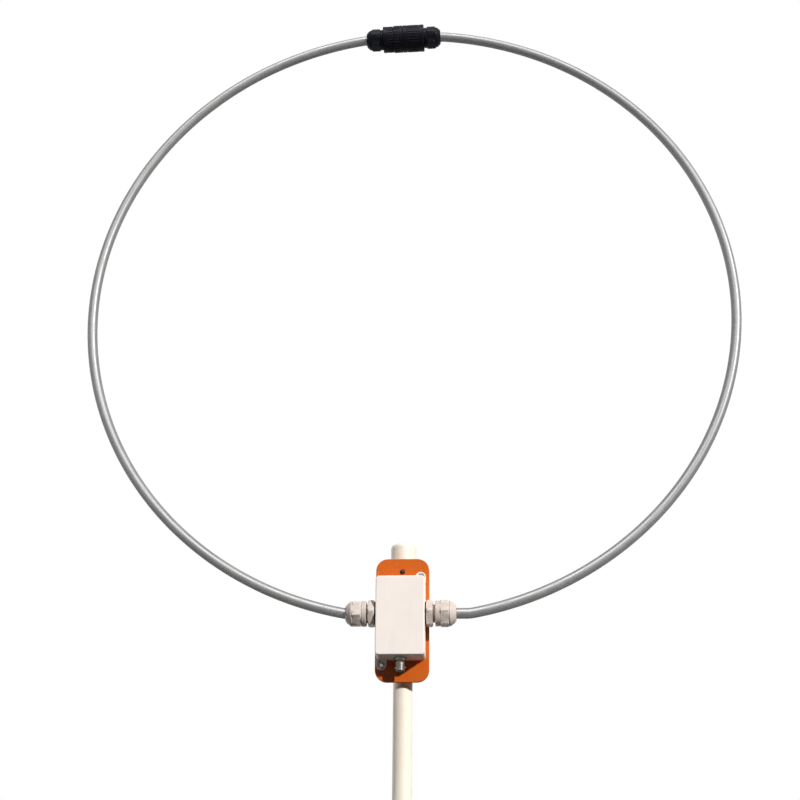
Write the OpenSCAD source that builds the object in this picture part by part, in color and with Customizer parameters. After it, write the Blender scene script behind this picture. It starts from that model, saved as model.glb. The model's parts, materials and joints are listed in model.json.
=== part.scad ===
// Receiving loop antenna: an aluminium tube loop on an amplifier case, clipped to a plastic mast.
// Millimetres, +Z up, -Y to the front. The origin is the centre of the mast's lower end.

/* [Mast] */
// Outside diameter of the mast pipe
mast_d = 20; // [16:0.5:25]
// Wall of the mast pipe
mast_wall = 1.5; // [1:0.1:3]
// Height of the gland axis above the mast's foot
axis_h = 200; // [120:1:600]
// Wall of the end cap
cap_wall = 3.4; // [2:0.1:5]
// Length of the end cap
cap_len = 26.6; // [18:0.2:40]
// Radius of the cap's rounded upper edge
cap_edge_r = 4; // [1:0.5:5]
// Thickness of the cap's roof
cap_roof = 3; // [2:0.5:6]

/* [Pipe clips] */
// Height of one clip along the mast
clip_h = 12; // [8:1:12]
// Thickness of the clip's spring arms
clip_wall = 2.3; // [1.5:0.1:3]
// Width of the clip's foot
clip_foot_w = 15; // [10:1:20]
// Angle of the clip's open mouth
clip_mouth = 84; // [50:2:110]
// Diameter of the clip screws
clip_screw_d = 3; // [2.5:0.5:4]

/* [Back plate] */
// Width of the plate
plate_w = 55.5; // [51:0.5:70]
// Height of the plate above the gland axis
plate_up = 62; // [58:0.5:90]
// Height of the plate below the gland axis
plate_down = 67; // [62:0.5:110]
// Thickness of the plate
plate_t = 4; // [2:0.5:8]
// Corner radius of the plate
plate_r = 12.5; // [2:0.5:14]

/* [Case] */
// Sideways shift of the case's middle from the mast
case_shift = -0.9; // [-2:0.1:2]
// Width of the case
case_w = 50; // [46:0.5:54]
// Height of the case above the gland axis
case_up = 36.5; // [34:0.5:44]
// Height of the case below the gland axis
case_down = 45; // [41:0.5:48]
// Side wall of the case
case_wall = 2; // [1.5:0.1:2.5]
// Floor of the case, against the plate
case_floor = 2.5; // [2.3:0.1:3]
// Corner radius of the case
case_r = 3.5; // [2.5:0.1:4]
// Thickness of the lid at its rim
lid_t = 3; // [2.5:0.1:4]
// Radius of the lid's front edge
lid_edge_r = 1.2; // [0.4:0.1:1.6]
// Width of a mounting ear
ear_w = 10.3; // [9:0.1:12]
// Thickness of an ear's floor
ear_t = 2; // [1.5:0.1:3]
// Height of the rim round an ear
ear_rim_h = 4.6; // [4:0.1:7]
// Wall of the rim round an ear
ear_rim_wall = 1.2; // [0.8:0.1:1.6]
// Diameter of the ear screws
ear_screw_d = 3; // [2.5:0.1:3.4]
// Diameter of the lid screws
lid_screw_d = 2.2; // [1.8:0.1:2.6]

/* [Glands] */
// Width of the gland's hexagons across flats
gland_af = 25; // [22:0.5:26]
// Diameter of the thread through the case wall
gland_thread_d = 18; // [16:0.5:18.5]
// Length of the gland body's hexagon
gland_base_l = 6.6; // [4:0.2:10]
// Length of the threaded neck under the nut
gland_neck_l = 14; // [12:0.5:18]
// Thickness of the rubber washer
washer_t = 1.4; // [0.8:0.1:2]
// Length of the nut's hexagon
nut_hex_l = 14.5; // [13:0.5:20]
// Length of the nut's dome
nut_dome_l = 7; // [4:0.5:10]
// Gap between body and nut on the left
nut_gap_left = 1.9; // [0.5:0.1:4]
// Gap between body and nut on the right
nut_gap_right = 2.5; // [0.5:0.1:4]
// Turn of the left nut, its front corner below level
nut_turn_left = 16; // [0:1:59]
// Wall of the rubber seal
seal_wall = 2; // [1.5:0.1:2.4]
// Thickness of the lock nut
locknut_t = 4; // [3:0.5:5]

/* [Loop] */
// Radius of the loop's centreline
loop_r = 358; // [250:1:500]
// Diameter of the tube
tube_d = 11; // [9:0.1:12]
// Wall of the tube
tube_wall = 1; // [0.8:0.1:1.6]
// Sideways shift of the loop's middle from the mast
loop_shift = 7.3; // [-10:0.1:10]
// Turn of the joiner from the top of the loop
joiner_turn = 1.6; // [-4:0.1:4]
// Bend radius beside the glands
low_bend_r = 42; // [30:1:80]
// Bend radius beside the joiner
top_bend_r = 60; // [30:1:120]
// Length of tube inside the case
tube_in = 9; // [6:0.5:11]
// Diameter of the terminal studs
stud_d = 4; // [3:0.5:5]

/* [Joiner] */
// Length of a back nut
back_nut_l = 19.6; // [16:0.2:24]
// Width of a back nut across corners
back_nut_ac = 26.6; // [24:0.2:28]
// Length of the plug's plain band
plug_band_l = 5.4; // [4:0.1:10]
// Length of the plug's ribbed band
plug_rib_l = 6.8; // [5:0.1:12]
// Length of the coupling ring
ring_l = 11.4; // [11:0.2:20]
// Length of the ring's ribbed band
ring_rib_l = 7.2; // [4:0.1:10]
// Length of the socket's plain band beside the ring
socket_front_l = 4.6; // [2:0.2:8]
// Length of the socket's ribbed band
socket_rib_l = 15.2; // [10:0.1:24]
// Length of the socket's plain band beside the nut
socket_band_l = 5.6; // [3:0.1:10]
// Outside diameter of the plug's band
plug_d = 30.8; // [28:0.1:31.6]
// Outside diameter of the coupling ring and the socket's band
ring_d = 32; // [30.2:0.1:34]
// Number of grip ribs round each band
ribs = 30; // [16:1:40]
// Height of a grip rib
rib_h = 0.5; // [0.3:0.1:0.9]

/* [Coaxial jack] */
// Diameter of the jack's barrel
jack_d = 9.6; // [9.4:0.1:10.6]
// Length of the barrel past the flange
jack_barrel_l = 10.4; // [9:0.1:14]
// Width of the flange across flats
jack_af = 12.7; // [12:0.1:15]
// Thickness of the flange
jack_flange_t = 2.5; // [1.5:0.1:4]
// Thickness of the flange's washer
jack_washer_t = 0.8; // [0.5:0.1:1.5]
// Diameter of the thread behind the flange
jack_thread_d = 9.4; // [9:0.1:9.6]

/* [Circuit board] */
// Thickness of the board
board_t = 1.6; // [0.8:0.1:2.4]
// Height of the board's bosses
board_boss_h = 3; // [2:0.1:3.2]
// Height of the transformer's core
core_h = 6; // [4:0.5:8]
// Height of a capacitor
cap_can_h = 7; // [5:0.5:9]
// Diameter of a hook-up lead
lead_d = 2; // [1.4:0.1:2.4]

/* [Hidden] */
$fn = 64;
eps = 0.01;

// Clearances
slip = 0.1;
run_fit = 0.05;
play = 0.3;
press_room = 0.02;
cap_room = 0.5;
hex_room = 0.33;
inner_room = 0.5;

// Mast and clips
mast_r = mast_d / 2;
cap_d = mast_d + 2 * (slip + cap_wall);
clip_gap = slip + cap_wall + cap_room;
plate_front = -(mast_r + clip_gap + plate_t);
clip_up = case_up + 0.45 * (plate_up - case_up);
clip_down = -(case_down + plate_down) / 2;
cap_foot = axis_h + clip_up + clip_h / 2 + 2 * cap_room;
cap_top = cap_foot + cap_len;
pipe_top = cap_top - cap_roof;
clip_screw_l = plate_t + 0.8 * clip_gap;
clip_head_d = 1.7 * clip_screw_d;
clip_head_t = 0.6 * clip_screw_d;

// Case
hex_corner = 1 / cos(30);
case_d = gland_af * hex_corner + 2 * hex_room;
axis_z = case_d / 2;
case_h = case_up + case_down;
case_mid = (case_up - case_down) / 2;
base_d = case_d - lid_t;
lid_inner = case_d - case_wall;
post_d = lid_screw_d + 3.8;
post_x = case_w / 2 - case_wall - post_d / 2 - play;
post_up = case_up - case_wall - post_d / 2 - play;
post_down = -case_down + case_wall + post_d / 2 + play;
post_spots = [for (x = [-post_x, post_x], y = [post_down, post_up]) [x, y]];
lid_head_d = 2 * lid_screw_d;
lid_head_t = case_floor - 1;
lid_screw_l = 12;
lip_l = 24;
lip_t = 1.2;
lip_h = 3;
ear_r = ear_w / 2;
ear_spots = [[-1, -case_down - ear_r, 0], [1, case_up + ear_r, 180]];
ear_head_d = 1.7 * ear_screw_d;
ear_head_t = 0.6 * ear_screw_d;
ear_nut_t = 0.8 * ear_screw_d;
ear_nut_af = 1.85 * ear_screw_d;
ear_screw_l = ear_t + plate_t + ear_nut_t + 0.8;

// Glands, measured outwards from the case's side
gland_bore = tube_d + 2 * play;
seal_d = tube_d + 2 * (run_fit + seal_wall);
seat_d = seal_d + 2 * slip;
neck_d = seat_d + 3.6;
neck_end = washer_t + gland_base_l + gland_neck_l;
seat_l = 9;
seal_out = 0.4;
nut_bore = neck_d + 2 * play;
nut_exit = tube_d + 1.2;
nut_turned_l = 4.5;
nut_shoulder = 0.6;
thread_in = case_wall + locknut_t + 1.5;
locknut_af = case_d - 2 * (case_floor + inner_room);
washer_d = gland_af - 0.6;

// Loop, seen from the front, about the gland axis
loop_x = loop_shift - case_shift;
flat_past = 3.8;
flat_half = case_w / 2 + neck_end + abs(loop_x) + flat_past;
low_turn = asin(flat_half / (loop_r - low_bend_r));
loop_mid = low_bend_r + (loop_r - low_bend_r) * cos(low_turn);
tube_bore = tube_d - 2 * tube_wall;
bend_swell = 0.2;
swell_l = 3;
tube_end_x = case_w / 2 - case_wall - tube_in;
socket_l = socket_front_l + socket_rib_l + socket_band_l;
joint_half = back_nut_l + 2 * play + (plug_band_l + plug_rib_l + ring_l + socket_l) / 2;
top_half = joint_half - 2;
top_turn = asin(top_half / (loop_r - top_bend_r));
top_h = top_bend_r + (loop_r - top_bend_r) * cos(top_turn);

// Joiner, measured along its axis from its middle
plug_end = -joint_half + back_nut_l + play;
plug_face = plug_end + plug_band_l + plug_rib_l;
ring_start = plug_face + play;
ring_end = plug_face + ring_l - play;
socket_face = plug_face + ring_l;
socket_ribs = socket_face + socket_front_l;
socket_end = socket_face + socket_l;
collar_d = ring_d - 7;
flange_d = collar_d + 1.8;
thread_d = flange_d;
spigot_d = thread_d - 5.4;
lip_len = 4.4;
flange_t = 1.8;
flange_at = ring_start + lip_len + play;
spigot_end = socket_face + 5;
oring_w = 2;
oring_at = socket_face + 1.8;
oring_r = spigot_d / 2 - 0.75;
mouth_d = spigot_d + 2 * play;
mouth_end = spigot_end + play;
thread_start = flange_at + flange_t + 1;
back_neck_d = seat_d + 2.6;
back_neck_l = back_nut_l - 8;
back_seat_l = 6;
back_bore = back_neck_d + 2 * play;
back_bore_l = back_neck_l + 1.2;
back_dome_l = 6;
contact_in = 8;
pin_d = 4;
plug_contact_at = plug_face - 3;
socket_contact_at = socket_face + 10;
pin_tip = socket_contact_at - 3;
contact_hole = tube_d + 2 * slip;

// Coaxial jack, measured downwards from the case's under side
jack_flange_at = jack_washer_t;
jack_barrel_at = jack_flange_at + jack_flange_t;
jack_end = jack_barrel_at + jack_barrel_l;
jack_bore = jack_d - 1.4;
jack_bore_l = jack_barrel_l - 1.7;
jack_core_d = 5;
jack_back = 7.5;
jack_pin_d = 1.4;
jack_pin_back = 3;
jack_nut_t = 2.5;
jack_lug_r = jack_d / 2 + 0.8;
jack_lug_d = 2;
jack_lug_at = jack_end - 3.4;

// Circuit board
board_at = case_floor + board_boss_h;
board_face = board_at + board_t;
board_w = case_w - 2 * (case_wall + locknut_t + 2);
board_up = case_up - 11.5;
board_down = -case_down + 9.5;
boss_d = 5;
board_screw_d = 1.8;
board_head_d = 3.6;
board_head_t = 1.3;
boss_x = board_w / 2 - 3.5;
boss_spots = [for (x = [-boss_x, boss_x], y = [board_down + 3.5, board_up - 3.5]) [x, y]];
core_outer = 14;
core_inner = 7;
core_y = board_up - core_outer / 2 - 2;
chip_w = 5;
chip_h = 4;
chip_t = 1.6;
chip_y = -tube_d / 2 - 8;
leg_pitch = 1.27;
can_d = 6.3;
can_x = 8;
can_y = board_down + 12;

// Terminals, measured inwards from the tube's end
lug_gap = 0.3;
lug_t = 0.8;
lug_d = 2 * stud_d;
lug_x = tube_end_x - lug_gap - lug_t;
stud_nut_t = 0.6 * stud_d;
stud_nut_af = 1.75 * stud_d;
stud_l = lug_gap + lug_t + lug_gap + stud_nut_t + 2;
crimp_d = lead_d + 1.4;
crimp_top = -tube_d / 2 - 0.8;
crimp_l = 5;
lead_bend_r = 3;
lead_swell = 0.1;
lead_x = lug_x + lug_t / 2;

// Places: x to the right, y up, z towards the front from the plate's face
module plate_place() {
    translate([0, plate_front, axis_h])
        rotate([90, 0, 0])
            children();
}

// The same, from the case's middle
module front() {
    plate_place()
        translate([case_shift, 0, 0])
            children();
}

// z outwards from the case's left (-1) or right (1) side, along the gland axis
module gland_place(side) {
    front()
        translate([side * case_w / 2, 0, axis_z])
            rotate([0, side * 90, 0])
                children();
}

// z downwards from the case's under side
module jack_place() {
    front()
        translate([0, -case_down, axis_z])
            rotate([90, 0, 0])
                children();
}

// z along the joiner, from left to right
module joiner_place() {
    front()
        translate([loop_x, loop_mid, axis_z])
            rotate([0, 0, joiner_turn])
                translate([0, top_h, 0])
                    rotate([0, 90, 0])
                        children();
}

// z along the mast from the clip's middle height
module clip_place(y) {
    translate([0, 0, axis_h + y])
        children();
}

// Shared shapes
module round_rect(w, h, r) {
    square([w - 2 * r, h], center = true);
    square([w, h - 2 * r], center = true);
    for (x = [-1, 1], y = [-1, 1])
        translate([x * (w / 2 - r), y * (h / 2 - r)])
            circle(r);
}

module pipe(d, bore, from, to) {
    translate([0, 0, from])
        difference() {
            cylinder(d = d, h = to - from);
            translate([0, 0, -eps])
                cylinder(d = bore, h = to - from + 2 * eps);
        }
}

module rod(d, from, to) {
    translate([0, 0, from])
        cylinder(d = d, h = to - from);
}

module hex(af, from, to, turn = 0) {
    translate([0, 0, from])
        rotate([0, 0, turn])
            cylinder(d = af * hex_corner, h = to - from, $fn = 6);
}

// Dome from radius r0 down to radius r1 over a height h
module dome(r0, r1, h) {
    rotate_extrude()
        polygon(concat([[0, 0]], [for (a = [0 : 15 : 90]) [r1 + (r0 - r1) * cos(a), h * sin(a)]], [[0, h]]));
}

// Screw with a pan head above z = 0 and its shank below
module pan_screw(d, l, head_d, head_t) {
    rod(d, -l, eps);
    rod(head_d, 0, head_t / 2);
    translate([0, 0, head_t / 2])
        dome(head_d / 2, head_d / 4, head_t / 2);
}

// Solid bend of a tube in the plane of the front view, about a centre, from angle a0 to a1
module bend(d, x, y, r, a0, a1) {
    translate([x, y, axis_z])
        rotate([0, 0, a0])
            rotate_extrude(angle = a1 - a0)
                translate([r, 0])
                    circle(d = d);
}

// Slight swell of the tube where a bend starts, with the tube running at an angle there
module swell(d, x, y, run) {
    translate([x, y, axis_z])
        rotate([0, 90, run])
            cylinder(d = d + bend_swell, h = swell_l, center = true);
}

module straight(d, x, y, l) {
    translate([x, y, axis_z])
        rotate([0, 90, 0])
            cylinder(d = d, h = l);
}

// Band of a round body with ribs along its length
module ribbed(d, from, to) {
    translate([0, 0, from])
        linear_extrude(to - from) {
            circle(d = d - 2 * rib_h);
            for (i = [0 : ribs - 1])
                rotate(i * 360 / ribs)
                    translate([d / 2 - rib_h, 0])
                        square([2 * rib_h, 0.5 * PI * d / ribs], center = true);
        }
}

// Lead that runs up or down from a crimp or pin and turns down to the board
module lead(x, y0, run) {
    dir = sign(run);
    straight = abs(run) - lead_bend_r;
    translate([x, y0, axis_z])
        rotate([-90 * dir, 0, 0])
            cylinder(d = lead_d, h = straight);
    translate([x, y0 + dir * straight, axis_z])
        sphere(d = lead_d + lead_swell);
    translate([x, y0 + dir * straight, axis_z - lead_bend_r])
        rotate([90, 0, dir * 90])
            lead_bend();
    translate([x, y0 + run, axis_z - lead_bend_r])
        sphere(d = lead_d + lead_swell);
    translate([x, y0 + run, board_face])
        cylinder(d = lead_d, h = axis_z - lead_bend_r - board_face);
}

module lead_bend() {
    rotate_extrude(angle = 90)
        translate([lead_bend_r, 0])
            circle(d = lead_d);
}

// Mast
module mast_pipe() {
    color("ivory")
        pipe(mast_d, mast_d - 2 * mast_wall, 0, pipe_top);
}

module mast_cap() {
    color("ivory")
        translate([0, 0, cap_foot])
            difference() {
                union() {
                    cylinder(d = cap_d, h = cap_len - cap_edge_r);
                    translate([0, 0, cap_len - cap_edge_r])
                        dome(cap_d / 2, cap_d / 2 - cap_edge_r, cap_edge_r);
                }
                translate([0, 0, -eps])
                    cylinder(d = mast_d + 2 * slip, h = cap_len - cap_roof + eps);
            }
}

// Back plate and clips
module back_plate() {
    color("chocolate")
        plate_place()
            difference() {
                translate([0, (plate_up - plate_down) / 2, -plate_t])
                    linear_extrude(plate_t)
                        round_rect(plate_w, plate_up + plate_down, plate_r);
                for (y = [clip_up, clip_down])
                    translate([0, y, 0])
                        rod(clip_screw_d + 2 * slip, -plate_t - eps, eps);
                for (s = ear_spots)
                    translate([case_shift + s[0] * (case_w / 2 - ear_r), s[1], 0])
                        rod(ear_screw_d + 2 * slip, -plate_t - eps, eps);
            }
}

module pipe_clip(y) {
    inner = mast_r + run_fit;
    color("ivory")
        clip_place(y)
            difference() {
                union() {
                    translate([0, 0, -clip_h / 2])
                        rotate([0, 0, 90 + clip_mouth / 2])
                            rotate_extrude(angle = 360 - clip_mouth)
                                translate([inner, 0])
                                    square([clip_wall, clip_h]);
                    difference() {
                        translate([-clip_foot_w / 2, -mast_r - clip_gap, -clip_h / 2])
                            cube([clip_foot_w, clip_gap + mast_r / 2, clip_h]);
                        cylinder(r = inner + clip_wall / 2, h = 2 * clip_h, center = true);
                    }
                }
                translate([0, -mast_r - clip_gap - eps, 0])
                    rotate([-90, 0, 0])
                        cylinder(d = clip_screw_d + 2 * press_room, h = 2 * clip_gap);
            }
}

module pipe_clip_upper() {
    pipe_clip(clip_up);
}

module pipe_clip_lower() {
    pipe_clip(clip_down);
}

module clip_screws() {
    color("dimgray")
        plate_place()
            for (y = [clip_up, clip_down])
                translate([0, y, 0])
                    pan_screw(clip_screw_d, clip_screw_l, clip_head_d, clip_head_t);
}

// Case
module ear_place(s) {
    translate([s[0] * (case_w / 2 - ear_r), s[1], 0])
        rotate([0, 0, s[2]])
            children();
}

module ear_outline(r, up) {
    circle(r);
    translate([-r, 0])
        square([2 * r, up]);
}

module case_base() {
    color("white")
        front() {
            difference() {
                union() {
                    translate([0, case_mid, 0])
                        linear_extrude(base_d)
                            round_rect(case_w, case_h, case_r);
                    for (s = ear_spots)
                        ear_place(s)
                            linear_extrude(ear_rim_h)
                                ear_outline(ear_r, ear_r + case_r);
                }
                translate([0, case_mid, case_floor])
                    linear_extrude(base_d)
                        round_rect(case_w - 2 * case_wall, case_h - 2 * case_wall, case_r - case_wall / 2);
                for (s = ear_spots)
                    ear_place(s) {
                        translate([0, 0, ear_t])
                            linear_extrude(ear_rim_h)
                                ear_outline(ear_r - ear_rim_wall, ear_r);
                        rod(ear_screw_d + 2 * slip, -eps, ear_t + eps);
                    }
                translate([-case_w, 0, axis_z])
                    rotate([0, 90, 0])
                        cylinder(d = gland_thread_d + 2 * slip, h = 2 * case_w);
                translate([0, -case_down - eps, axis_z])
                    rotate([-90, 0, 0])
                        cylinder(d = jack_thread_d + 2 * slip, h = case_wall + 2 * eps);
                for (p = post_spots)
                    translate([p[0], p[1], 0]) {
                        rod(lid_screw_d + 2 * slip, -eps, case_floor + eps);
                        rod(lid_head_d + 2 * slip, -eps, lid_head_t);
                    }
            }
            for (b = boss_spots)
                translate([b[0], b[1], 0])
                    pipe(boss_d, board_screw_d + 2 * press_room, case_floor - eps, board_at);
        }
}

module lid_corner() {
    rod(2 * case_r, 0, lid_t - lid_edge_r);
    translate([0, 0, lid_t - lid_edge_r])
        dome(case_r, case_r - lid_edge_r, lid_edge_r);
}

module lid_shell() {
    hull()
        for (x = [-1, 1], y = [-1, 1])
            translate([x * (case_w / 2 - case_r), y * (case_h / 2 - case_r), 0])
                lid_corner($fn = 32);
}

module case_lid() {
    inner_w = case_w - 2 * case_wall;
    inner_h = case_h - 2 * case_wall;
    lip_y = inner_h / 2 - slip - lip_t / 2;
    color("white")
        front()
            difference() {
                union() {
                    translate([0, case_mid, base_d])
                        difference() {
                            lid_shell();
                            translate([0, 0, -eps])
                                linear_extrude(lid_t - case_wall + eps)
                                    round_rect(inner_w, inner_h, case_r - case_wall / 2);
                        }
                    for (p = post_spots)
                        translate([p[0], p[1], 0])
                            rod(post_d, case_floor + slip, lid_inner + eps);
                    for (y = [-1, 1])
                        translate([-lip_l / 2, case_mid + y * lip_y - lip_t / 2, base_d - lip_h])
                            cube([lip_l, lip_t, lip_h + lid_t - case_wall + eps]);
                }
                for (p = post_spots)
                    translate([p[0], p[1], 0])
                        rod(lid_screw_d + 2 * press_room, case_floor, lid_head_t + lid_screw_l + 1);
            }
}

module lid_screws() {
    color("silver")
        front()
            for (p = post_spots)
                translate([p[0], p[1], 0]) {
                    rod(lid_head_d, 0.1, lid_head_t);
                    rod(lid_screw_d, lid_head_t - eps, lid_head_t + lid_screw_l);
                }
}

module ear_screws() {
    color("silver")
        front()
            for (s = ear_spots)
                translate([s[0] * (case_w / 2 - ear_r), s[1], ear_t])
                    pan_screw(ear_screw_d, ear_screw_l, ear_head_d, ear_head_t);
}

module ear_nuts() {
    color("silver")
        front()
            for (s = ear_spots)
                translate([s[0] * (case_w / 2 - ear_r), s[1], 0])
                    difference() {
                        hex(ear_nut_af, -plate_t - ear_nut_t, -plate_t);
                        rod(ear_screw_d + 2 * press_room, -plate_t - ear_nut_t - eps, -plate_t + eps);
                    }
}

// Glands
module gland_body(side) {
    color("linen")
        gland_place(side)
            difference() {
                union() {
                    rod(gland_thread_d, -thread_in, washer_t + eps);
                    hex(gland_af, washer_t, washer_t + gland_base_l);
                    rod(neck_d, washer_t + gland_base_l - eps, neck_end);
                }
                rod(gland_bore, -thread_in - eps, neck_end);
                rod(seat_d, neck_end - seat_l, neck_end + eps);
            }
}

module gland_body_left() {
    gland_body(-1);
}

module gland_body_right() {
    gland_body(1);
}

module gland_washer(side) {
    color("black")
        gland_place(side)
            pipe(washer_d, gland_thread_d + 2 * slip, 0, washer_t);
}

module gland_washer_left() {
    gland_washer(-1);
}

module gland_washer_right() {
    gland_washer(1);
}

module gland_locknut(side) {
    color("linen")
        gland_place(side)
            difference() {
                hex(locknut_af, -case_wall - locknut_t, -case_wall, 30);
                rod(gland_thread_d + 2 * press_room, -case_wall - locknut_t - eps, -case_wall + eps);
            }
}

module gland_locknut_left() {
    gland_locknut(-1);
}

module gland_locknut_right() {
    gland_locknut(1);
}

module gland_seal(side) {
    color("black")
        gland_place(side)
            pipe(seal_d, tube_d + 2 * run_fit, neck_end - seat_l, neck_end + seal_out);
}

module gland_seal_left() {
    gland_seal(-1);
}

module gland_seal_right() {
    gland_seal(1);
}

module gland_nut(side, gap, turn = 0) {
    start = washer_t + gland_base_l + gap;
    color("linen")
        gland_place(side)
            translate([0, 0, start])
                difference() {
                    union() {
                        hex(gland_af, nut_turned_l - eps, nut_hex_l + eps, turn);
                        rod(gland_af + 2 * nut_shoulder, 0, nut_turned_l);
                        translate([0, 0, nut_hex_l])
                            dome(gland_af / 2 + nut_shoulder, nut_exit / 2 + 1.4, nut_dome_l);
                    }
                    rod(nut_bore, -eps, neck_end - start + seal_out + play);
                    rod(nut_exit, 0, nut_hex_l + nut_dome_l + eps);
                }
}

module gland_nut_left() {
    gland_nut(-1, nut_gap_left, -nut_turn_left);
}

module gland_nut_right() {
    gland_nut(1, nut_gap_right);
}

// Circuit board and what it carries
module circuit_board() {
    color("darkgreen")
        front()
            difference() {
                translate([-board_w / 2, board_down, board_at])
                    cube([board_w, board_up - board_down, board_t]);
                for (b = boss_spots)
                    translate([b[0], b[1], 0])
                        rod(board_screw_d + 2 * slip, board_at - eps, board_face + eps);
            }
}

module board_screws() {
    color("silver")
        front()
            for (b = boss_spots)
                translate([b[0], b[1], board_face])
                    pan_screw(board_screw_d, board_t + board_boss_h, board_head_d, board_head_t);
}

module input_transformer() {
    color("darkslategray")
        front()
            translate([0, core_y, 0])
                pipe(core_outer, core_inner, board_face, board_face + core_h);
}

module amplifier_chip() {
    color("black")
        front()
            translate([0, chip_y, board_face]) {
                translate([-chip_w / 2, -chip_h / 2, 0])
                    cube([chip_w, chip_h, chip_t]);
                for (i = [-1.5 : 1 : 1.5], s = [-1, 1])
                    translate([i * leg_pitch - 0.2, s * (chip_h / 2 + 0.4) - 0.5, 0])
                        cube([0.4, 1, chip_t / 2]);
            }
}

module board_capacitors() {
    color("darkblue")
        front()
            for (x = [-can_x, can_x])
                translate([x, can_y, 0])
                    rod(can_d, board_face, board_face + cap_can_h);
}

// Coaxial jack
module jack_body() {
    color("silver")
        jack_place()
            difference() {
                union() {
                    hex(jack_af, jack_flange_at, jack_barrel_at);
                    rod(jack_d, jack_barrel_at - eps, jack_end);
                    rod(jack_thread_d, -case_wall - jack_back, jack_flange_at + eps);
                    translate([-jack_lug_r, 0, jack_lug_at])
                        rotate([0, 90, 0])
                            cylinder(d = jack_lug_d, h = 2 * jack_lug_r, $fn = 24);
                }
                rod(jack_bore, jack_end - jack_bore_l, jack_end + eps);
                rod(jack_core_d, -case_wall - jack_back - eps, jack_end);
            }
}

module jack_insulator() {
    bore = jack_pin_d + 2 * press_room;
    color("white")
        jack_place()
            pipe(jack_core_d - 2 * press_room, bore, -case_wall - jack_back, jack_end - 2);
}

module jack_contact() {
    color("gold")
        jack_place()
            rod(jack_pin_d, -case_wall - jack_back - jack_pin_back, jack_end - 3);
}

module jack_washer() {
    color("silver")
        jack_place()
            pipe(jack_af + 0.6, jack_thread_d + 2 * slip, 0, jack_washer_t);
}

module jack_nut() {
    color("silver")
        jack_place()
            difference() {
                hex(jack_af, -case_wall - jack_nut_t, -case_wall);
                rod(jack_thread_d + 2 * press_room, -case_wall - jack_nut_t - eps, -case_wall + eps);
            }
}

module jack_lead() {
    y0 = -case_down + case_wall + jack_back + jack_pin_back;
    color("firebrick")
        front()
            lead(0, y0, lead_bend_r + 2);
}

// Terminals between the loop and the board
module loop_lugs() {
    color("silver")
        front()
            for (s = [-1, 1])
                translate([s * lead_x, 0, axis_z])
                    difference() {
                        union() {
                            rotate([0, 90, 0])
                                cylinder(d = lug_d, h = lug_t, center = true);
                            translate([-lug_t / 2, crimp_top - crimp_l, -lug_d / 5])
                                cube([lug_t, crimp_l - crimp_top, lug_d * 2 / 5]);
                            translate([0, crimp_top - crimp_l, 0])
                                rotate([-90, 0, 0])
                                    cylinder(d = crimp_d, h = crimp_l);
                        }
                        rotate([0, 90, 0])
                            cylinder(d = stud_d + 2 * run_fit, h = 2 * lug_t, center = true);
                    }
}

module loop_leads() {
    color("firebrick")
        front()
            for (s = [-1, 1])
                lead(s * lead_x, crimp_top - crimp_l, -lead_bend_r - 2);
}

// Loop
module left_path(d, past) {
    left = loop_x - flat_half;
    arc_end = 90 + joiner_turn + top_turn;
    straight(d, left, 0, past - tube_end_x - left);
    swell(d, left, 0, 0);
    bend(d, left, low_bend_r, low_bend_r, 270 - low_turn, 270);
    translate([loop_x, loop_mid, 0]) {
        rotate([0, 0, 270 - low_turn])
            swell(d, loop_r, 0, 90);
        bend(d, 0, 0, loop_r, arc_end, 270 - low_turn);
        rotate([0, 0, arc_end])
            swell(d, loop_r, 0, 90);
        rotate([0, 0, joiner_turn]) {
            bend(d, -top_half, top_h - top_bend_r, top_bend_r, 90, 90 + top_turn);
            swell(d, -top_half, top_h, 0);
            straight(d, -top_half, top_h, top_half + plug_contact_at + past);
        }
    }
}

module right_path(d, past) {
    right = loop_x + flat_half;
    arc_end = 90 + joiner_turn - top_turn;
    straight(d, tube_end_x - past, 0, right - tube_end_x + past);
    swell(d, right, 0, 0);
    bend(d, right, low_bend_r, low_bend_r, -90, low_turn - 90);
    translate([loop_x, loop_mid, 0]) {
        rotate([0, 0, low_turn - 90])
            swell(d, loop_r, 0, 90);
        bend(d, 0, 0, loop_r, low_turn - 90, arc_end);
        rotate([0, 0, arc_end])
            swell(d, loop_r, 0, 90);
        rotate([0, 0, joiner_turn]) {
            bend(d, top_half, top_h - top_bend_r, top_bend_r, 90 - top_turn, 90);
            swell(d, top_half, top_h, 0);
            straight(d, socket_contact_at - past, top_h, top_half - socket_contact_at + past);
        }
    }
}

module loop_tube_left() {
    color("silver")
        front()
            difference() {
                left_path(tube_d, 0);
                left_path(tube_bore, 1);
            }
}

module loop_tube_right() {
    color("silver")
        front()
            difference() {
                right_path(tube_d, 0);
                right_path(tube_bore, 1);
            }
}

module tube_studs() {
    color("goldenrod")
        front()
            for (s = [-1, 1])
                translate([s * tube_end_x, 0, axis_z])
                    rotate([0, s * 90, 0]) {
                        rod(tube_bore - 2 * press_room, 0, contact_in);
                        rod(stud_d, -stud_l, eps);
                    }
}

module stud_nuts() {
    nut_at = lug_gap + lug_t + lug_gap;
    color("goldenrod")
        front()
            for (s = [-1, 1])
                translate([s * tube_end_x, 0, axis_z])
                    rotate([0, s * 90, 0])
                        difference() {
                            hex(stud_nut_af, -nut_at - stud_nut_t, -nut_at);
                            rod(stud_d + 2 * press_room, -nut_at - stud_nut_t - eps, -nut_at + eps);
                        }
}

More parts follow.
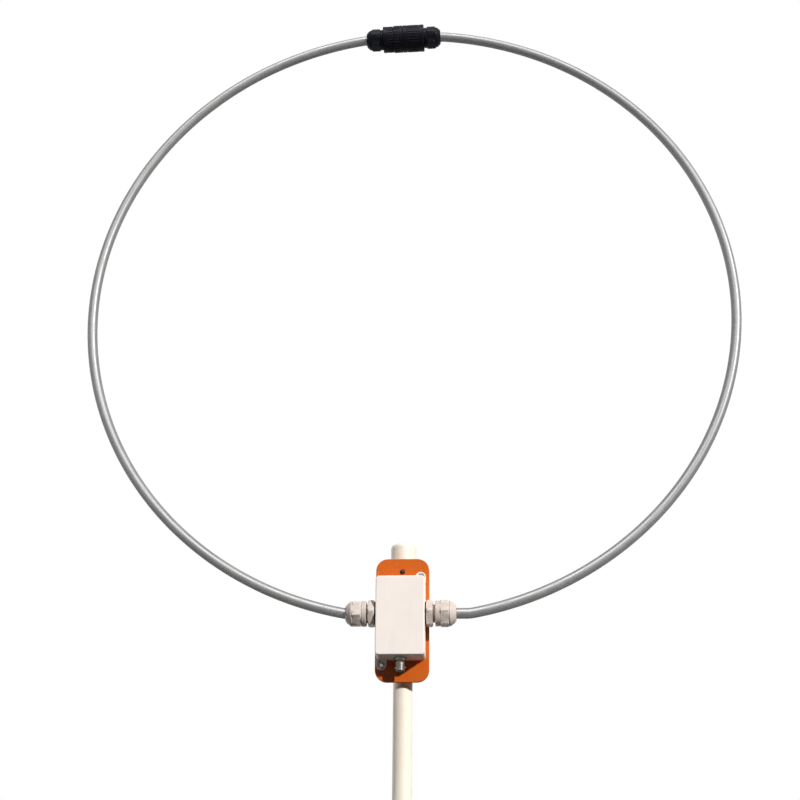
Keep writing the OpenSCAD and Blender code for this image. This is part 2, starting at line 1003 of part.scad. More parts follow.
// Joiner at the top of the loop
module plug_body() {
    color("dimgray")
        joiner_place()
            difference() {
                union() {
                    rod(back_neck_d, plug_end - back_neck_l, plug_end + eps);
                    rod(plug_d, plug_end, plug_end + plug_band_l);
                    ribbed(plug_d, plug_end + plug_band_l - eps, plug_face);
                    rod(collar_d, plug_face - eps, flange_at + eps);
                    rod(flange_d, flange_at, flange_at + flange_t);
                    rod(spigot_d, flange_at, spigot_end);
                }
                rod(contact_hole, plug_end - back_neck_l - eps, spigot_end + eps);
                rod(seat_d, plug_end - back_neck_l - eps, plug_end - back_neck_l + back_seat_l);
                pipe(spigot_d + 2, spigot_d - 3.6, oring_at - 0.6 * oring_w, oring_at + 0.6 * oring_w);
            }
}

module socket_body() {
    color("dimgray")
        joiner_place()
            difference() {
                union() {
                    rod(thread_d, thread_start, socket_face + eps);
                    rod(ring_d, socket_face, socket_ribs + eps);
                    ribbed(ring_d, socket_ribs, socket_ribs + socket_rib_l);
                    rod(ring_d, socket_ribs + socket_rib_l - eps, socket_end);
                    rod(back_neck_d, socket_end - eps, socket_end + back_neck_l);
                }
                rod(mouth_d, thread_start - eps, mouth_end);
                rod(contact_hole, thread_start, socket_end + back_neck_l + eps);
                rod(seat_d, socket_end + back_neck_l - back_seat_l, socket_end + back_neck_l + eps);
            }
}

module plug_contact() {
    color("goldenrod")
        joiner_place() {
            rod(tube_bore - 2 * press_room, plug_contact_at - contact_in, plug_contact_at + eps);
            rod(tube_d, plug_contact_at, plug_contact_at + 2);
            rod(pin_d, plug_contact_at + 2 - eps, pin_tip);
        }
}

module socket_contact() {
    color("goldenrod")
        joiner_place()
            difference() {
                union() {
                    rod(tube_d, socket_face - 1, socket_contact_at);
                    rod(tube_bore - 2 * press_room, socket_contact_at - eps, socket_contact_at + contact_in);
                }
                rod(pin_d + 2 * press_room, socket_face - 1 - eps, pin_tip + 1);
            }
}

module joiner_oring() {
    color("black")
        joiner_place()
            translate([0, 0, oring_at])
                rotate_extrude()
                    translate([oring_r, 0])
                        circle(d = oring_w - slip, $fn = 24);
}

module joiner_seal_left() {
    neck = plug_end - back_neck_l;
    color("black")
        joiner_place()
            pipe(seal_d, tube_d + 2 * run_fit, neck - seal_out, neck + back_seat_l);
}

module joiner_seal_right() {
    neck = socket_end + back_neck_l;
    color("black")
        joiner_place()
            pipe(seal_d, tube_d + 2 * run_fit, neck - back_seat_l, neck + seal_out);
}

module coupling_ring() {
    color("dimgray")
        joiner_place()
            difference() {
                union() {
                    ribbed(ring_d, ring_start, ring_start + ring_rib_l);
                    rod(ring_d, ring_start + ring_rib_l - eps, ring_end);
                }
                rod(collar_d + 2 * play, ring_start - eps, ring_start + lip_len + eps);
                rod(thread_d + 2 * play, ring_start + lip_len, ring_end + eps);
            }
}

module back_nut() {
    color("dimgray")
        difference() {
            union() {
                hex(back_nut_ac / hex_corner, 0, back_nut_l - back_dome_l);
                translate([0, 0, back_nut_l - back_dome_l - eps])
                    dome(back_nut_ac / hex_corner / 2, nut_exit / 2 + 1.6, back_dome_l);
            }
            rod(back_bore, -eps, back_bore_l);
            rod(nut_exit, 0, back_nut_l + eps);
        }
}

module back_nut_left() {
    joiner_place()
        translate([0, 0, plug_end - play])
            rotate([180, 0, 0])
                back_nut();
}

module back_nut_right() {
    joiner_place()
        translate([0, 0, socket_end + play])
            back_nut();
}

mast_pipe();
mast_cap();
back_plate();
pipe_clip_upper();
pipe_clip_lower();
clip_screws();
case_base();
case_lid();
lid_screws();
ear_screws();
ear_nuts();
gland_body_left();
gland_body_right();
gland_washer_left();
gland_washer_right();
gland_locknut_left();
gland_locknut_right();
gland_seal_left();
gland_seal_right();
gland_nut_left();
gland_nut_right();
circuit_board();
board_screws();
input_transformer();
amplifier_chip();
board_capacitors();
jack_body();
jack_insulator();
jack_contact();
jack_washer();
jack_nut();
jack_lead();
loop_lugs();
loop_leads();
loop_tube_left();
loop_tube_right();
tube_studs();
stud_nuts();
plug_body();
socket_body();
plug_contact();
socket_contact();
joiner_oring();
joiner_seal_left();
joiner_seal_right();
coupling_ring();
back_nut_left();
back_nut_right();
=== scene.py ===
import json
import math

import bmesh
import bpy
from mathutils import Matrix, Vector


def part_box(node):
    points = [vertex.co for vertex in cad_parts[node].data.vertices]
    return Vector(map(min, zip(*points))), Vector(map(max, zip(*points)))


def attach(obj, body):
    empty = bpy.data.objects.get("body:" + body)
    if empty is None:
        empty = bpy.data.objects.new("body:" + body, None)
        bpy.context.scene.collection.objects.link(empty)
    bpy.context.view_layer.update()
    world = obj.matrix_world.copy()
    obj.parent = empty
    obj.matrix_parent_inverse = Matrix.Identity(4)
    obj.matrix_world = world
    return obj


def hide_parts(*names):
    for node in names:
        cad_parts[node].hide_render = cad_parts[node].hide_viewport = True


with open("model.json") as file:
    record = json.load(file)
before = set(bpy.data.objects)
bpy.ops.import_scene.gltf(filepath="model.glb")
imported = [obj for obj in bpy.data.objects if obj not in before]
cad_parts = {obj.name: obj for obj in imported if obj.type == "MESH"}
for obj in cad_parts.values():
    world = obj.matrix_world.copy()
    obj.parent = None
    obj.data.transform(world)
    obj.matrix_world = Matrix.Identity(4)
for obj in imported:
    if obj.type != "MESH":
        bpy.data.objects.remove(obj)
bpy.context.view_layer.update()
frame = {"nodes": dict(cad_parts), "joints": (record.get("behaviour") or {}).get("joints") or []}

scene = bpy.context.scene
nodes = frame["nodes"]
mm = 0.001  # sizes below are written in millimetres
print("frame loaded:", len(nodes), "nodes")


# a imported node's lowest and highest corners
def nodeSpan(node):
    return [[round(v / mm, 4) for v in corner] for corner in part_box(node)]


def nodeMiddle(node):
    return [(a + b) / 2 for a, b in zip(*nodeSpan(node))]


# a packed joint's place and axis
def jointLine(name):
    joint = next(j for j in frame["joints"] if j["name"] == name)
    return [round(v / mm, 4) for v in joint["pos_m"]], joint["axis"]


# slots and nodes carry the names of finishes and pieces, written with underscores
def packedName(name):
    return "".join("_" + c.lower() if c.isupper() else c for c in name)


# colours are written as sRGB hex and turned linear here
def paint(code):
    def linear(c):
        return c / 12.92 if c <= 0.04045 else ((c + 0.055) / 1.055) ** 2.4
    return tuple(linear(int(code[i:i + 2], 16) / 255) for i in (0, 2, 4)) + (1.0,)


# a socket takes a link or a plain value
def feed(tree, socket, value):
    if isinstance(value, bpy.types.NodeSocket):
        tree.links.new(value, socket)
    else:
        socket.default_value = value


# one node with its links or values, keyed by socket name or number
def put(tree, kind, values=None, **settings):
    new = tree.nodes.new(kind)
    for key, value in settings.items():
        setattr(new, key, value)
    for key, value in (values or {}).items():
        feed(tree, new.inputs[key], value)
    return new


def calc(tree, how, a, b=0.0, clamp=False):
    return put(tree, "ShaderNodeMath", {0: a, 1: b}, operation=how, use_clamp=clamp).outputs[0]


def spread(tree, value, low, high, to=(0.0, 1.0)):
    ranges = {"Value": value, "From Min": low, "From Max": high, "To Min": to[0], "To Max": to[1]}
    return put(tree, "ShaderNodeMapRange", ranges).outputs[0]


def stretch(tree, place, by):
    return put(tree, "ShaderNodeVectorMath", {0: place, 1: by}, operation="MULTIPLY").outputs[0]


def noise(tree, place, scale, detail, rough=0.5):
    values = {"Vector": place, "Scale": scale, "Detail": detail, "Roughness": rough}
    return put(tree, "ShaderNodeTexNoise", values).outputs[0]


def blendColour(tree, share, a, b):
    mix = put(tree, "ShaderNodeMix", data_type="RGBA")
    colours = [s for s in mix.inputs if s.type == "RGBA"]
    for socket, value in ((mix.inputs[0], share), (colours[0], a), (colours[1], b)):
        feed(tree, socket, value)
    return [s for s in mix.outputs if s.type == "RGBA"][0]


def objectPlace(tree):
    return put(tree, "ShaderNodeTexCoord").outputs["Object"]


# camera at the photograph's viewing angle, looking up from below the head
view = {"at": (83.411, -1465.674, -150.350), "yaw": -0.0606, "pitch": 0.38773, "roll": 0.009,
        "focus": 1430.124, "frame": 800, "sensor": 36.0, "farthest": 50000.0}


def setCamera(v):
    level = math.cos(v["pitch"])
    forward = Vector((math.sin(v["yaw"]) * level, math.cos(v["yaw"]) * level, math.sin(v["pitch"])))
    right = forward.cross(Vector((0, 0, 1))).normalized()
    up = right.cross(forward)
    c, s = math.cos(v["roll"]), math.sin(v["roll"])
    axes = Matrix((c * right + s * up, c * up - s * right, -forward)).transposed()
    data = bpy.data.cameras.new("photoCamera")
    data.sensor_fit = "HORIZONTAL"
    data.sensor_width = v["sensor"]
    data.lens = v["focus"] / v["frame"] * v["sensor"]
    data.clip_end = v["farthest"] * mm
    camera = bpy.data.objects.new("photoCamera", data)
    camera.matrix_world = Matrix.Translation(Vector(v["at"]) * mm) @ axes.to_4x4()
    scene.collection.objects.link(camera)
    scene.camera = camera


# a clear key light from the upper right, soft fills from the left and the back, and a strip for shine alone
lamps = {
    "keyLight": {"travel": (-19.0, 22.0, -12.7), "power": 3.9, "width": 2.2, "colour": (1.0, 0.975, 0.945),
                 "shade": True, "shine": True},
    "leftFill": {"travel": (1.0, -0.3, -0.2), "power": 1.7, "width": 40.0, "colour": (0.96, 0.98, 1.0),
                 "shade": True, "shine": False},
    "backFill": {"travel": (-0.1, -1.0, -0.35), "power": 1.3, "width": 40.0, "colour": (1.0, 0.99, 0.97),
                 "shade": True, "shine": False},
    "stripLight": {"travel": (0.05, 0.66, -0.75), "power": 3.2, "width": 34.0, "colour": (1.0, 1.0, 1.0),
                   "shade": False, "shine": True},
}
sky = {"high": 0.24, "low": 0.01, "span": (0.1, 0.7)}  # paler above
floor = {"radius": 3000.0, "sides": 64, "pale": "eae9e6", "bounce": 0.06, "fade": (0.3, 0.98)}


def setLamps():
    for name, made in lamps.items():
        lamp = bpy.data.lights.new(name, "SUN")
        lamp.energy = made["power"]
        lamp.color = made["colour"]
        lamp.angle = math.radians(made["width"])
        sun = bpy.data.objects.new(name, lamp)
        sun.rotation_euler = Vector(made["travel"]).to_track_quat("-Z", "Y").to_euler()
        sun.visible_diffuse = made["shade"]
        sun.visible_glossy = made["shine"]
        scene.collection.objects.link(sun)


def setSky(v):
    world = bpy.data.worlds.new("whiteSurround")
    scene.world = world
    world.use_nodes = True
    t = world.node_tree
    t.nodes.clear()
    path = put(t, "ShaderNodeLightPath").outputs
    seen = calc(t, "MAXIMUM", path["Is Camera Ray"], path["Is Glossy Ray"])
    seen = calc(t, "MAXIMUM", seen, path["Is Transmission Ray"])
    direction = put(t, "ShaderNodeTexCoord").outputs["Generated"]
    height = put(t, "ShaderNodeSeparateXYZ", {0: direction}).outputs[2]
    level = spread(t, height, *v["span"], (v["low"], v["high"]))
    lit = put(t, "ShaderNodeBackground", {"Color": (1, 1, 1, 1), "Strength": level})
    white = put(t, "ShaderNodeBackground", {"Color": (1, 1, 1, 1), "Strength": 1.0})
    both = put(t, "ShaderNodeMixShader", {0: seen, 1: lit.outputs[0], 2: white.outputs[0]})
    put(t, "ShaderNodeOutputWorld", {0: both.outputs[0]})


# the floor shows from above only, because the camera stands lower than the mast's foot
def setFloor(v):
    radius = v["radius"] * mm
    mesh = bpy.data.meshes.new("paleFloor")
    bm = bmesh.new()
    bmesh.ops.create_circle(bm, cap_ends=True, segments=v["sides"], radius=radius)
    bm.to_mesh(mesh)
    bm.free()
    disc = bpy.data.objects.new("paleFloor", mesh)
    scene.collection.objects.link(disc)
    m = bpy.data.materials.new("paleFloor")
    m.use_nodes = True
    t = m.node_tree
    t.nodes.clear()
    bounced = put(t, "ShaderNodeLightPath").outputs["Is Diffuse Ray"]
    colour = blendColour(t, bounced, paint(v["pale"]), (v["bounce"],) * 3 + (1.0,))
    surface = put(t, "ShaderNodeBsdfDiffuse", {"Color": colour})
    far = put(t, "ShaderNodeVectorMath", {0: objectPlace(t)}, operation="LENGTH").outputs["Value"]
    start, end = v["fade"]
    fade = spread(t, far, start * radius, end * radius)
    under = put(t, "ShaderNodeNewGeometry").outputs["Backfacing"]
    clear = calc(t, "MAXIMUM", fade, under)
    thin = put(t, "ShaderNodeBsdfTransparent")
    both = put(t, "ShaderNodeMixShader", {0: clear, 1: surface.outputs[0], 2: thin.outputs[0]})
    put(t, "ShaderNodeOutputMaterial", {0: both.outputs[0]})
    mesh.materials.append(m)


setCamera(view)
setLamps()
setSky(sky)
setFloor(floor)
print("camera, light and floor set")


# shared surface effects, each a shader group with named sockets
def newGroup(name, inputs, outputs):
    tree = bpy.data.node_groups.new(name, "ShaderNodeTree")
    for label, value in inputs.items():
        socket = tree.interface.new_socket(label, in_out="INPUT", socket_type="NodeSocketFloat")
        socket.default_value = value
    for label in outputs:
        tree.interface.new_socket(label, in_out="OUTPUT", socket_type="NodeSocketFloat")
    return tree, tree.nodes.new("NodeGroupInput").outputs, tree.nodes.new("NodeGroupOutput").inputs


# which span of a noise becomes a mask, and with what share
masks = {"drift": (0.3, 0.7), "broken": (0.42, 0.62), "streak": (0.52, 0.72), "streakShare": 0.6,
         "blotch": (0.5, 0.75), "blotchShare": 0.55, "patch": (0.52, 0.6), "dieLine": (0.35, 0.68),
         "bloom": (0.45, 0.72)}


# fine moulded or cast grain with a slow drift of tone
def makeGrain():
    t, given, out = newGroup("mouldGrain", {"Grain Scale": 1500.0, "Drift Scale": 30.0}, ["Tone", "Height"])
    place = objectPlace(t)
    fine = noise(t, place, given["Grain Scale"], detail=3.0, rough=0.6)
    slow = noise(t, place, given["Drift Scale"], detail=4.0, rough=0.55)
    t.links.new(spread(t, slow, *masks["drift"]), out["Tone"])
    t.links.new(fine, out["Height"])
    return t


# corners that hands and tools have rubbed, from the mesh's own edge attribute; on the black joiner this mask
# also lays a painted highlight along the rib crests
def makeEdgeRubAndHighlight():
    t, given, out = newGroup("edgeRubAndHighlight", {"Amount": 1.0, "Break Scale": 400.0}, ["Mask"])
    edge = put(t, "ShaderNodeAttribute", attribute_name="edgeRubAndHighlight").outputs["Fac"]
    broken = noise(t, objectPlace(t), given["Break Scale"], detail=5.0, rough=0.65)
    worn = calc(t, "MULTIPLY", edge, spread(t, broken, *masks["broken"]))
    t.links.new(calc(t, "MULTIPLY", worn, given["Amount"], True), out["Mask"])
    return t


# rain streaks down the piece and blotches of settled dust
def makeWeather():
    inputs = {"Amount": 1.0, "Streak Scale": 160.0, "Streak Length": 0.06, "Blotch Scale": 45.0}
    t, given, out = newGroup("weather", inputs, ["Mask"])
    place = objectPlace(t)
    along = put(t, "ShaderNodeCombineXYZ", {0: 1.0, 1: 1.0, 2: given["Streak Length"]}).outputs[0]
    streak = noise(t, stretch(t, place, along), given["Streak Scale"], detail=4.0, rough=0.6)
    blotch = noise(t, place, given["Blotch Scale"], detail=6.0, rough=0.62)
    runs = calc(t, "MULTIPLY", spread(t, streak, *masks["streak"]), masks["streakShare"])
    spots = calc(t, "MULTIPLY", spread(t, blotch, *masks["blotch"]), masks["blotchShare"])
    both = calc(t, "ADD", runs, spots)
    t.links.new(calc(t, "MULTIPLY", both, given["Amount"], True), out["Mask"])
    return t


# hairline scratches in two directions, broken up in patches
scratchRun = {"turns": ((0.15, 0.5, 0.2), (0.63, 2.1, 0.2)), "stretch": (1.0, 0.35, 0.12)}


def makeScratches():
    inputs = {"Scale": 60.0, "Thinness": 0.006, "Patch Scale": 90.0}
    t, given, out = newGroup("hairScratches", inputs, ["Mask"])
    place = objectPlace(t)
    lines = []
    for turn in scratchRun["turns"]:
        drawn = {"Vector": place, "Rotation": turn, "Scale": scratchRun["stretch"]}
        wave = noise(t, put(t, "ShaderNodeMapping", drawn).outputs[0], given["Scale"], detail=2.0)
        off = calc(t, "ABSOLUTE", calc(t, "SUBTRACT", wave, 0.5))
        lines.append(calc(t, "LESS_THAN", off, given["Thinness"]))
    patch = spread(t, noise(t, place, given["Patch Scale"], detail=2.0), *masks["patch"])
    t.links.new(calc(t, "MULTIPLY", calc(t, "MAXIMUM", *lines), patch), out["Mask"])
    return t


# lines that the die leaves along a drawn tube, from the mesh's own run attribute
def makeDrawn():
    inputs = {"Lines": 14.0, "Run Length": 1.6, "Bloom Scale": 70.0}
    t, given, out = newGroup("drawnLines", inputs, ["Tone", "Height", "Bloom"])
    run = put(t, "ShaderNodeAttribute", attribute_name="tubeRun").outputs["Vector"]
    along = put(t, "ShaderNodeCombineXYZ", {0: given["Lines"], 1: given["Lines"], 2: given["Run Length"]})
    fine = noise(t, stretch(t, run, along.outputs[0]), scale=2.0, detail=8.0, rough=0.7)
    bloom = noise(t, objectPlace(t), given["Bloom Scale"], detail=7.0, rough=0.65)
    t.links.new(spread(t, fine, *masks["dieLine"]), out["Tone"])
    t.links.new(fine, out["Height"])
    t.links.new(spread(t, bloom, *masks["bloom"]), out["Bloom"])
    return t


groups = {"grain": makeGrain(), "rub": makeEdgeRubAndHighlight(), "weather": makeWeather(), "scratch": makeScratches(),
          "drawn": makeDrawn()}


def use(tree, group, **values):
    new = put(tree, "ShaderNodeGroup", node_tree=groups[group])
    for label, value in values.items():
        new.inputs[label.replace("_", " ")].default_value = value
    return new.outputs


def newFinish(name, fixed):
    m = bpy.data.materials.new(name)
    m.use_nodes = True
    bsdf = m.node_tree.nodes["Principled BSDF"]
    for socket, value in fixed.items():
        bsdf.inputs[socket].default_value = value
    return m, m.node_tree, bsdf.inputs


# roughness that a mask raises
def dulled(tree, rough, mask, more, clamp=False):
    return calc(tree, "ADD", rough, calc(tree, "MULTIPLY", mask, more), clamp)


# the last links of a finish: its colour, its roughness and its bump
def endFinish(tree, shade, colour, rough, height, deep):
    bump = put(tree, "ShaderNodeBump", {"Strength": 1.0, "Distance": deep * mm, "Height": height})
    tree.links.new(colour, shade["Base Color"])
    tree.links.new(rough, shade["Roughness"])
    tree.links.new(bump.outputs[0], shade["Normal"])


# moulded plastics and rubber: body colour, drift of tone, weathering, rubbed corners, scratches and grain;
# on the black joiner the rubbed-corner colour is a painted highlight on the rib crests
plastics = {
    "pvcWhite": {"body": "faf3e6", "drift": "f4ead8", "soil": "c5b8a3", "rub": "fdfaf5", "soiled": 0.26,
                 "gloss": (0.34, 0.48), "grain": 900.0, "deep": 0.006, "streak": 260.0, "level": 0.2},
    "caseWhite": {"body": "fcf4ef", "drift": "f8efe9", "soil": "d8ccc2", "rub": "fdfbf9", "soiled": 0.18,
                  "gloss": (0.4, 0.52), "grain": 2300.0, "deep": 0.014, "streak": 170.0, "level": 0.18},
    "nylonGrey": {"body": "d9cdc5", "drift": "d2c5bc", "soil": "9d9187", "rub": "ece6e0", "soiled": 0.18,
                  "gloss": (0.36, 0.5), "grain": 1700.0, "deep": 0.012, "streak": 220.0, "level": 0.2},
    "plateOrange": {"body": "d2661f", "drift": "ca5e1a", "soil": "a5501f", "rub": "e2823f", "soiled": 0.2,
                    "gloss": (0.16, 0.3), "grain": 420.0, "deep": 0.004, "streak": 150.0, "level": 0.14},
    # the joiner's rubbed-corner colour is a painted highlight: pale lines along the rib crests in place of
    # the light that catches them
    "joinerBlack": {"body": "080914", "drift": "0d0e18", "soil": "1b1c24", "rub": "44454e", "soiled": 0.12,
                    "gloss": (0.36, 0.52), "grain": 1900.0, "deep": 0.016, "streak": 300.0, "level": 0.07},
    "rubberBlack": {"body": "17161a", "drift": "201f22", "soil": "3d3a36", "rub": "2c2b2d", "soiled": 0.36,
                    "gloss": (0.62, 0.8), "grain": 1500.0, "deep": 0.02, "streak": 300.0, "level": 0.2},
    "jackInsulation": {"body": "efeee8", "drift": "e6e4dc", "soil": "b5ab98", "rub": "fbfbf9",
                       "soiled": 0.15, "gloss": (0.3, 0.42), "grain": 2600.0, "deep": 0.004,
                       "streak": 300.0, "level": 0.4},
    "chipBlack": {"body": "1a1a1b", "drift": "222224", "soil": "3a3937", "rub": "48484a", "soiled": 0.2,
                  "gloss": (0.5, 0.64), "grain": 5200.0, "deep": 0.01, "streak": 900.0, "level": 0.3},
    "capacitorBlue": {"body": "1c2f63", "drift": "213871", "soil": "3a4152", "rub": "8fa0c4",
                      "soiled": 0.15, "gloss": (0.26, 0.38), "grain": 1800.0, "deep": 0.004,
                      "streak": 700.0, "level": 0.45},
    "leadRed": {"body": "9c1f1c", "drift": "8d1a18", "soil": "5c2521", "rub": "bb5a50", "soiled": 0.25,
                "gloss": (0.36, 0.5), "grain": 2400.0, "deep": 0.006, "streak": 900.0, "level": 0.4},
    "coreFerrite": {"body": "34363a", "drift": "2b2d30", "soil": "4b4741", "rub": "6a6c70", "soiled": 0.25,
                    "gloss": (0.55, 0.72), "grain": 3800.0, "deep": 0.03, "streak": 800.0, "level": 0.35},
}
plasticWear = {"drift": 36.0, "rub": 0.55, "marks": 0.22, "soilDull": 0.3, "marksDull": 0.12, "bend": 1.5}
sawnRim = {"colour": "d07f48", "share": 0.6, "dull": 0.55, "facing": (0.75, 0.25)}


def makePlastic(name, look):
    wear = plasticWear
    m, t, shade = newFinish(name, {"Specular IOR Level": look["level"], "IOR": wear["bend"]})
    grain = use(t, "grain", Grain_Scale=look["grain"], Drift_Scale=wear["drift"])
    soil = use(t, "weather", Amount=look["soiled"], Streak_Scale=look["streak"])["Mask"]
    rub = use(t, "rub", Amount=wear["rub"])["Mask"]
    scratch = use(t, "scratch")["Mask"]
    colour = blendColour(t, grain["Tone"], paint(look["body"]), paint(look["drift"]))
    colour = blendColour(t, soil, colour, paint(look["soil"]))
    gloss = spread(t, grain["Tone"], 0.0, 1.0, look["gloss"])
    gloss = dulled(t, gloss, soil, wear["soilDull"])
    if name == "plateOrange":  # the sawn rim of the sheet is duller and paler than its faces
        normal = put(t, "ShaderNodeTexCoord").outputs["Normal"]
        depth = put(t, "ShaderNodeSeparateXYZ", {0: normal}).outputs[1]
        rim = spread(t, calc(t, "ABSOLUTE", depth), *sawnRim["facing"])
        paler = calc(t, "MULTIPLY", rim, sawnRim["share"])
        colour = blendColour(t, paler, colour, paint(sawnRim["colour"]))
        gloss = dulled(t, gloss, rim, sawnRim["dull"])
    colour = blendColour(t, rub, colour, paint(look["rub"]))
    colour = blendColour(t, calc(t, "MULTIPLY", scratch, wear["marks"]), colour, paint(look["rub"]))
    gloss = dulled(t, gloss, scratch, wear["marksDull"], True)
    endFinish(t, shade, colour, gloss, grain["Height"], look["deep"])
    return m


# metals: bright body, tarnish in slow patches, rubbed corners and fine scratches
metals = {
    "jackNickel": {"body": "736e68", "dull": "4c4843", "rub": "c0bbb4", "gloss": (0.3, 0.42),
                   "grain": 1300.0},
    "screwSteel": {"body": "b9b9b6", "dull": "8d8a83", "rub": "dcdcda", "gloss": (0.24, 0.4),
                   "grain": 1900.0},
    "screwBlack": {"body": "2b2929", "dull": "3a3431", "rub": "77726d", "gloss": (0.34, 0.5),
                   "grain": 2200.0},
    "contactBrass": {"body": "c39a4e", "dull": "8f6f3a", "rub": "e2c583", "gloss": (0.2, 0.36),
                     "grain": 1700.0},
}
metalWear = {"drift": 240.0, "tarnish": 0.6, "rub": 0.6, "break": 700.0, "scratch": 160.0,
             "marksDull": 0.15, "deep": 0.003}


def makeMetal(name, look):
    wear = metalWear
    m, t, shade = newFinish(name, {"Metallic": 1.0})
    grain = use(t, "grain", Grain_Scale=look["grain"], Drift_Scale=wear["drift"])
    rub = use(t, "rub", Amount=wear["rub"], Break_Scale=wear["break"])["Mask"]
    scratch = use(t, "scratch", Scale=wear["scratch"])["Mask"]
    tarnish = calc(t, "MULTIPLY", grain["Tone"], wear["tarnish"])
    colour = blendColour(t, tarnish, paint(look["body"]), paint(look["dull"]))
    colour = blendColour(t, rub, colour, paint(look["rub"]))
    gloss = spread(t, grain["Tone"], 0.0, 1.0, look["gloss"])
    gloss = dulled(t, gloss, scratch, wear["marksDull"], True)
    endFinish(t, shade, colour, gloss, grain["Height"], wear["deep"])
    return m


# bare drawn aluminium with its die lines, a thin grey bloom of oxide and scuffs
tubeMetal = {"body": "8f8f90", "line": "7a7a7b", "bloom": "929190", "scuff": "b4b4b4",
             "gloss": (0.37, 0.46), "metal": 0.5, "level": 0.2, "bloomShare": 0.5, "bloomDull": 0.16,
             "scuffShare": 0.12, "scratch": 90.0, "thin": 0.004, "deep": 0.012}


def makeAluminium(look):
    fixed = {"Metallic": look["metal"], "Specular IOR Level": look["level"]}
    m, t, shade = newFinish("tubeAluminium", fixed)
    drawn = use(t, "drawn")
    scratch = use(t, "scratch", Scale=look["scratch"], Thinness=look["thin"])["Mask"]
    bloom = calc(t, "MULTIPLY", drawn["Bloom"], look["bloomShare"])
    scuff = calc(t, "MULTIPLY", scratch, look["scuffShare"])
    colour = blendColour(t, drawn["Tone"], paint(look["line"]), paint(look["body"]))
    colour = blendColour(t, bloom, colour, paint(look["bloom"]))
    colour = blendColour(t, scuff, colour, paint(look["scuff"]))
    gloss = spread(t, drawn["Tone"], 0.0, 1.0, look["gloss"])
    gloss = dulled(t, gloss, drawn["Bloom"], look["bloomDull"], True)
    endFinish(t, shade, colour, gloss, drawn["Height"], look["deep"])
    return m


# green solder mask over a grid of copper tracks
boardLook = {"mask": "17512f", "track": "24703f", "bare": "0f3d24", "bareShare": 0.4, "gloss": (0.24, 0.36),
             "pitch": 3.2, "long": 5, "gap": 0.5, "gapSoft": 0.2, "grain": 1800.0, "drift": 90.0,
             "deep": 0.03, "level": 0.5, "coat": 0.3}


def makeBoard(look):
    fixed = {"Specular IOR Level": look["level"], "Coat Weight": look["coat"]}
    m, t, shade = newFinish("boardGreen", fixed)
    grain = use(t, "grain", Grain_Scale=look["grain"], Drift_Scale=look["drift"])
    upright = {"Vector": objectPlace(t), "Rotation": (math.pi / 2, 0.0, 0.0)}
    pitch = look["pitch"] * mm
    grid = {"Vector": put(t, "ShaderNodeMapping", upright).outputs[0], "Scale": 1.0,
            "Mortar Size": look["gap"] * mm, "Mortar Smooth": look["gapSoft"],
            "Brick Width": look["long"] * pitch, "Row Height": pitch}
    track = calc(t, "SUBTRACT", 1.0, put(t, "ShaderNodeTexBrick", grid).outputs["Fac"])
    bare = calc(t, "MULTIPLY", grain["Tone"], look["bareShare"])
    colour = blendColour(t, track, paint(look["mask"]), paint(look["track"]))
    colour = blendColour(t, bare, colour, paint(look["bare"]))
    gloss = spread(t, grain["Tone"], 0.0, 1.0, look["gloss"])
    height = calc(t, "ADD", track, grain["Height"])
    endFinish(t, shade, colour, gloss, height, look["deep"])
    return m


finishes = {name: makePlastic(name, look) for name, look in plastics.items()}
finishes.update({name: makeMetal(name, look) for name, look in metals.items()})
finishes["tubeAluminium"] = makeAluminium(tubeMetal)
finishes["boardGreen"] = makeBoard(boardLook)
print("finishes made:", len(finishes))


# points that lie closer than a gap to the one before are dropped
def spaced(points, gap):
    kept = [points[0]]
    for p in points[1:]:
        if math.dist(p, kept[-1]) > gap:
            kept.append(p)
    return kept


# a line through corners, each rounded by its own radius, with guard points beside every rounding
lineRule = {"arcStep": 18, "reach": 0.49, "guardReach": 0.45, "straight": 0.01, "same": 1e-4}


def roundedLine(corners, closed=False, guard=0.35):
    points = []
    count = len(corners)
    for i, corner in enumerate(corners):
        here = Vector(corner[:2])
        radius = corner[2] if len(corner) > 2 else 0
        if radius <= 0 or (not closed and i in (0, count - 1)):
            points.append(here)
            continue
        before = Vector(corners[i - 1][:2]) - here
        after = Vector(corners[(i + 1) % count][:2]) - here
        a, b = before.normalized(), after.normalized()
        inside = math.acos(max(-1.0, min(1.0, a.dot(b))))
        if inside > math.pi - lineRule["straight"]:
            points.append(here)
            continue
        most = lineRule["reach"] * min(before.length, after.length)
        reach = min(radius / math.tan(inside / 2), most)
        radius = reach * math.tan(inside / 2)
        middle = here + (a + b).normalized() * radius / math.sin(inside / 2)
        start, end = here + a * reach - middle, here + b * reach - middle
        steps = max(2, math.ceil(math.degrees(math.pi - inside) / lineRule["arcStep"]))
        turn = math.atan2(start.cross(end), start.dot(end))
        if reach + guard < lineRule["guardReach"] * before.length:
            points.append(here + a * (reach + guard))
        for k in range(steps + 1):
            points.append(middle + Matrix.Rotation(turn * k / steps, 2) @ start)
        if reach + guard < lineRule["guardReach"] * after.length:
            points.append(here + b * (reach + guard))
    return [tuple(p) for p in spaced(points, lineRule["same"])]


def onCircle(radius, degrees):
    return radius * math.cos(math.radians(degrees)), radius * math.sin(math.radians(degrees))


# a hexagon has its corners at 0, 60 ... degrees, each rounded by the corner radius
hexRule = {"half": 0.5, "back": 0.289, "steps": 3, "eighths": (0.5, 1, 2, 3, 4, 5, 6, 7, 7.5)}


def hexTip(flats):
    return flats / 2 / math.cos(math.pi / 6)


# half the angle that a rounding takes up; it ends beside and behind the tip by shares of its radius
def hexRounding(flats, corner):
    return math.atan2(hexRule["half"] * corner, hexTip(flats) - hexRule["back"] * corner)


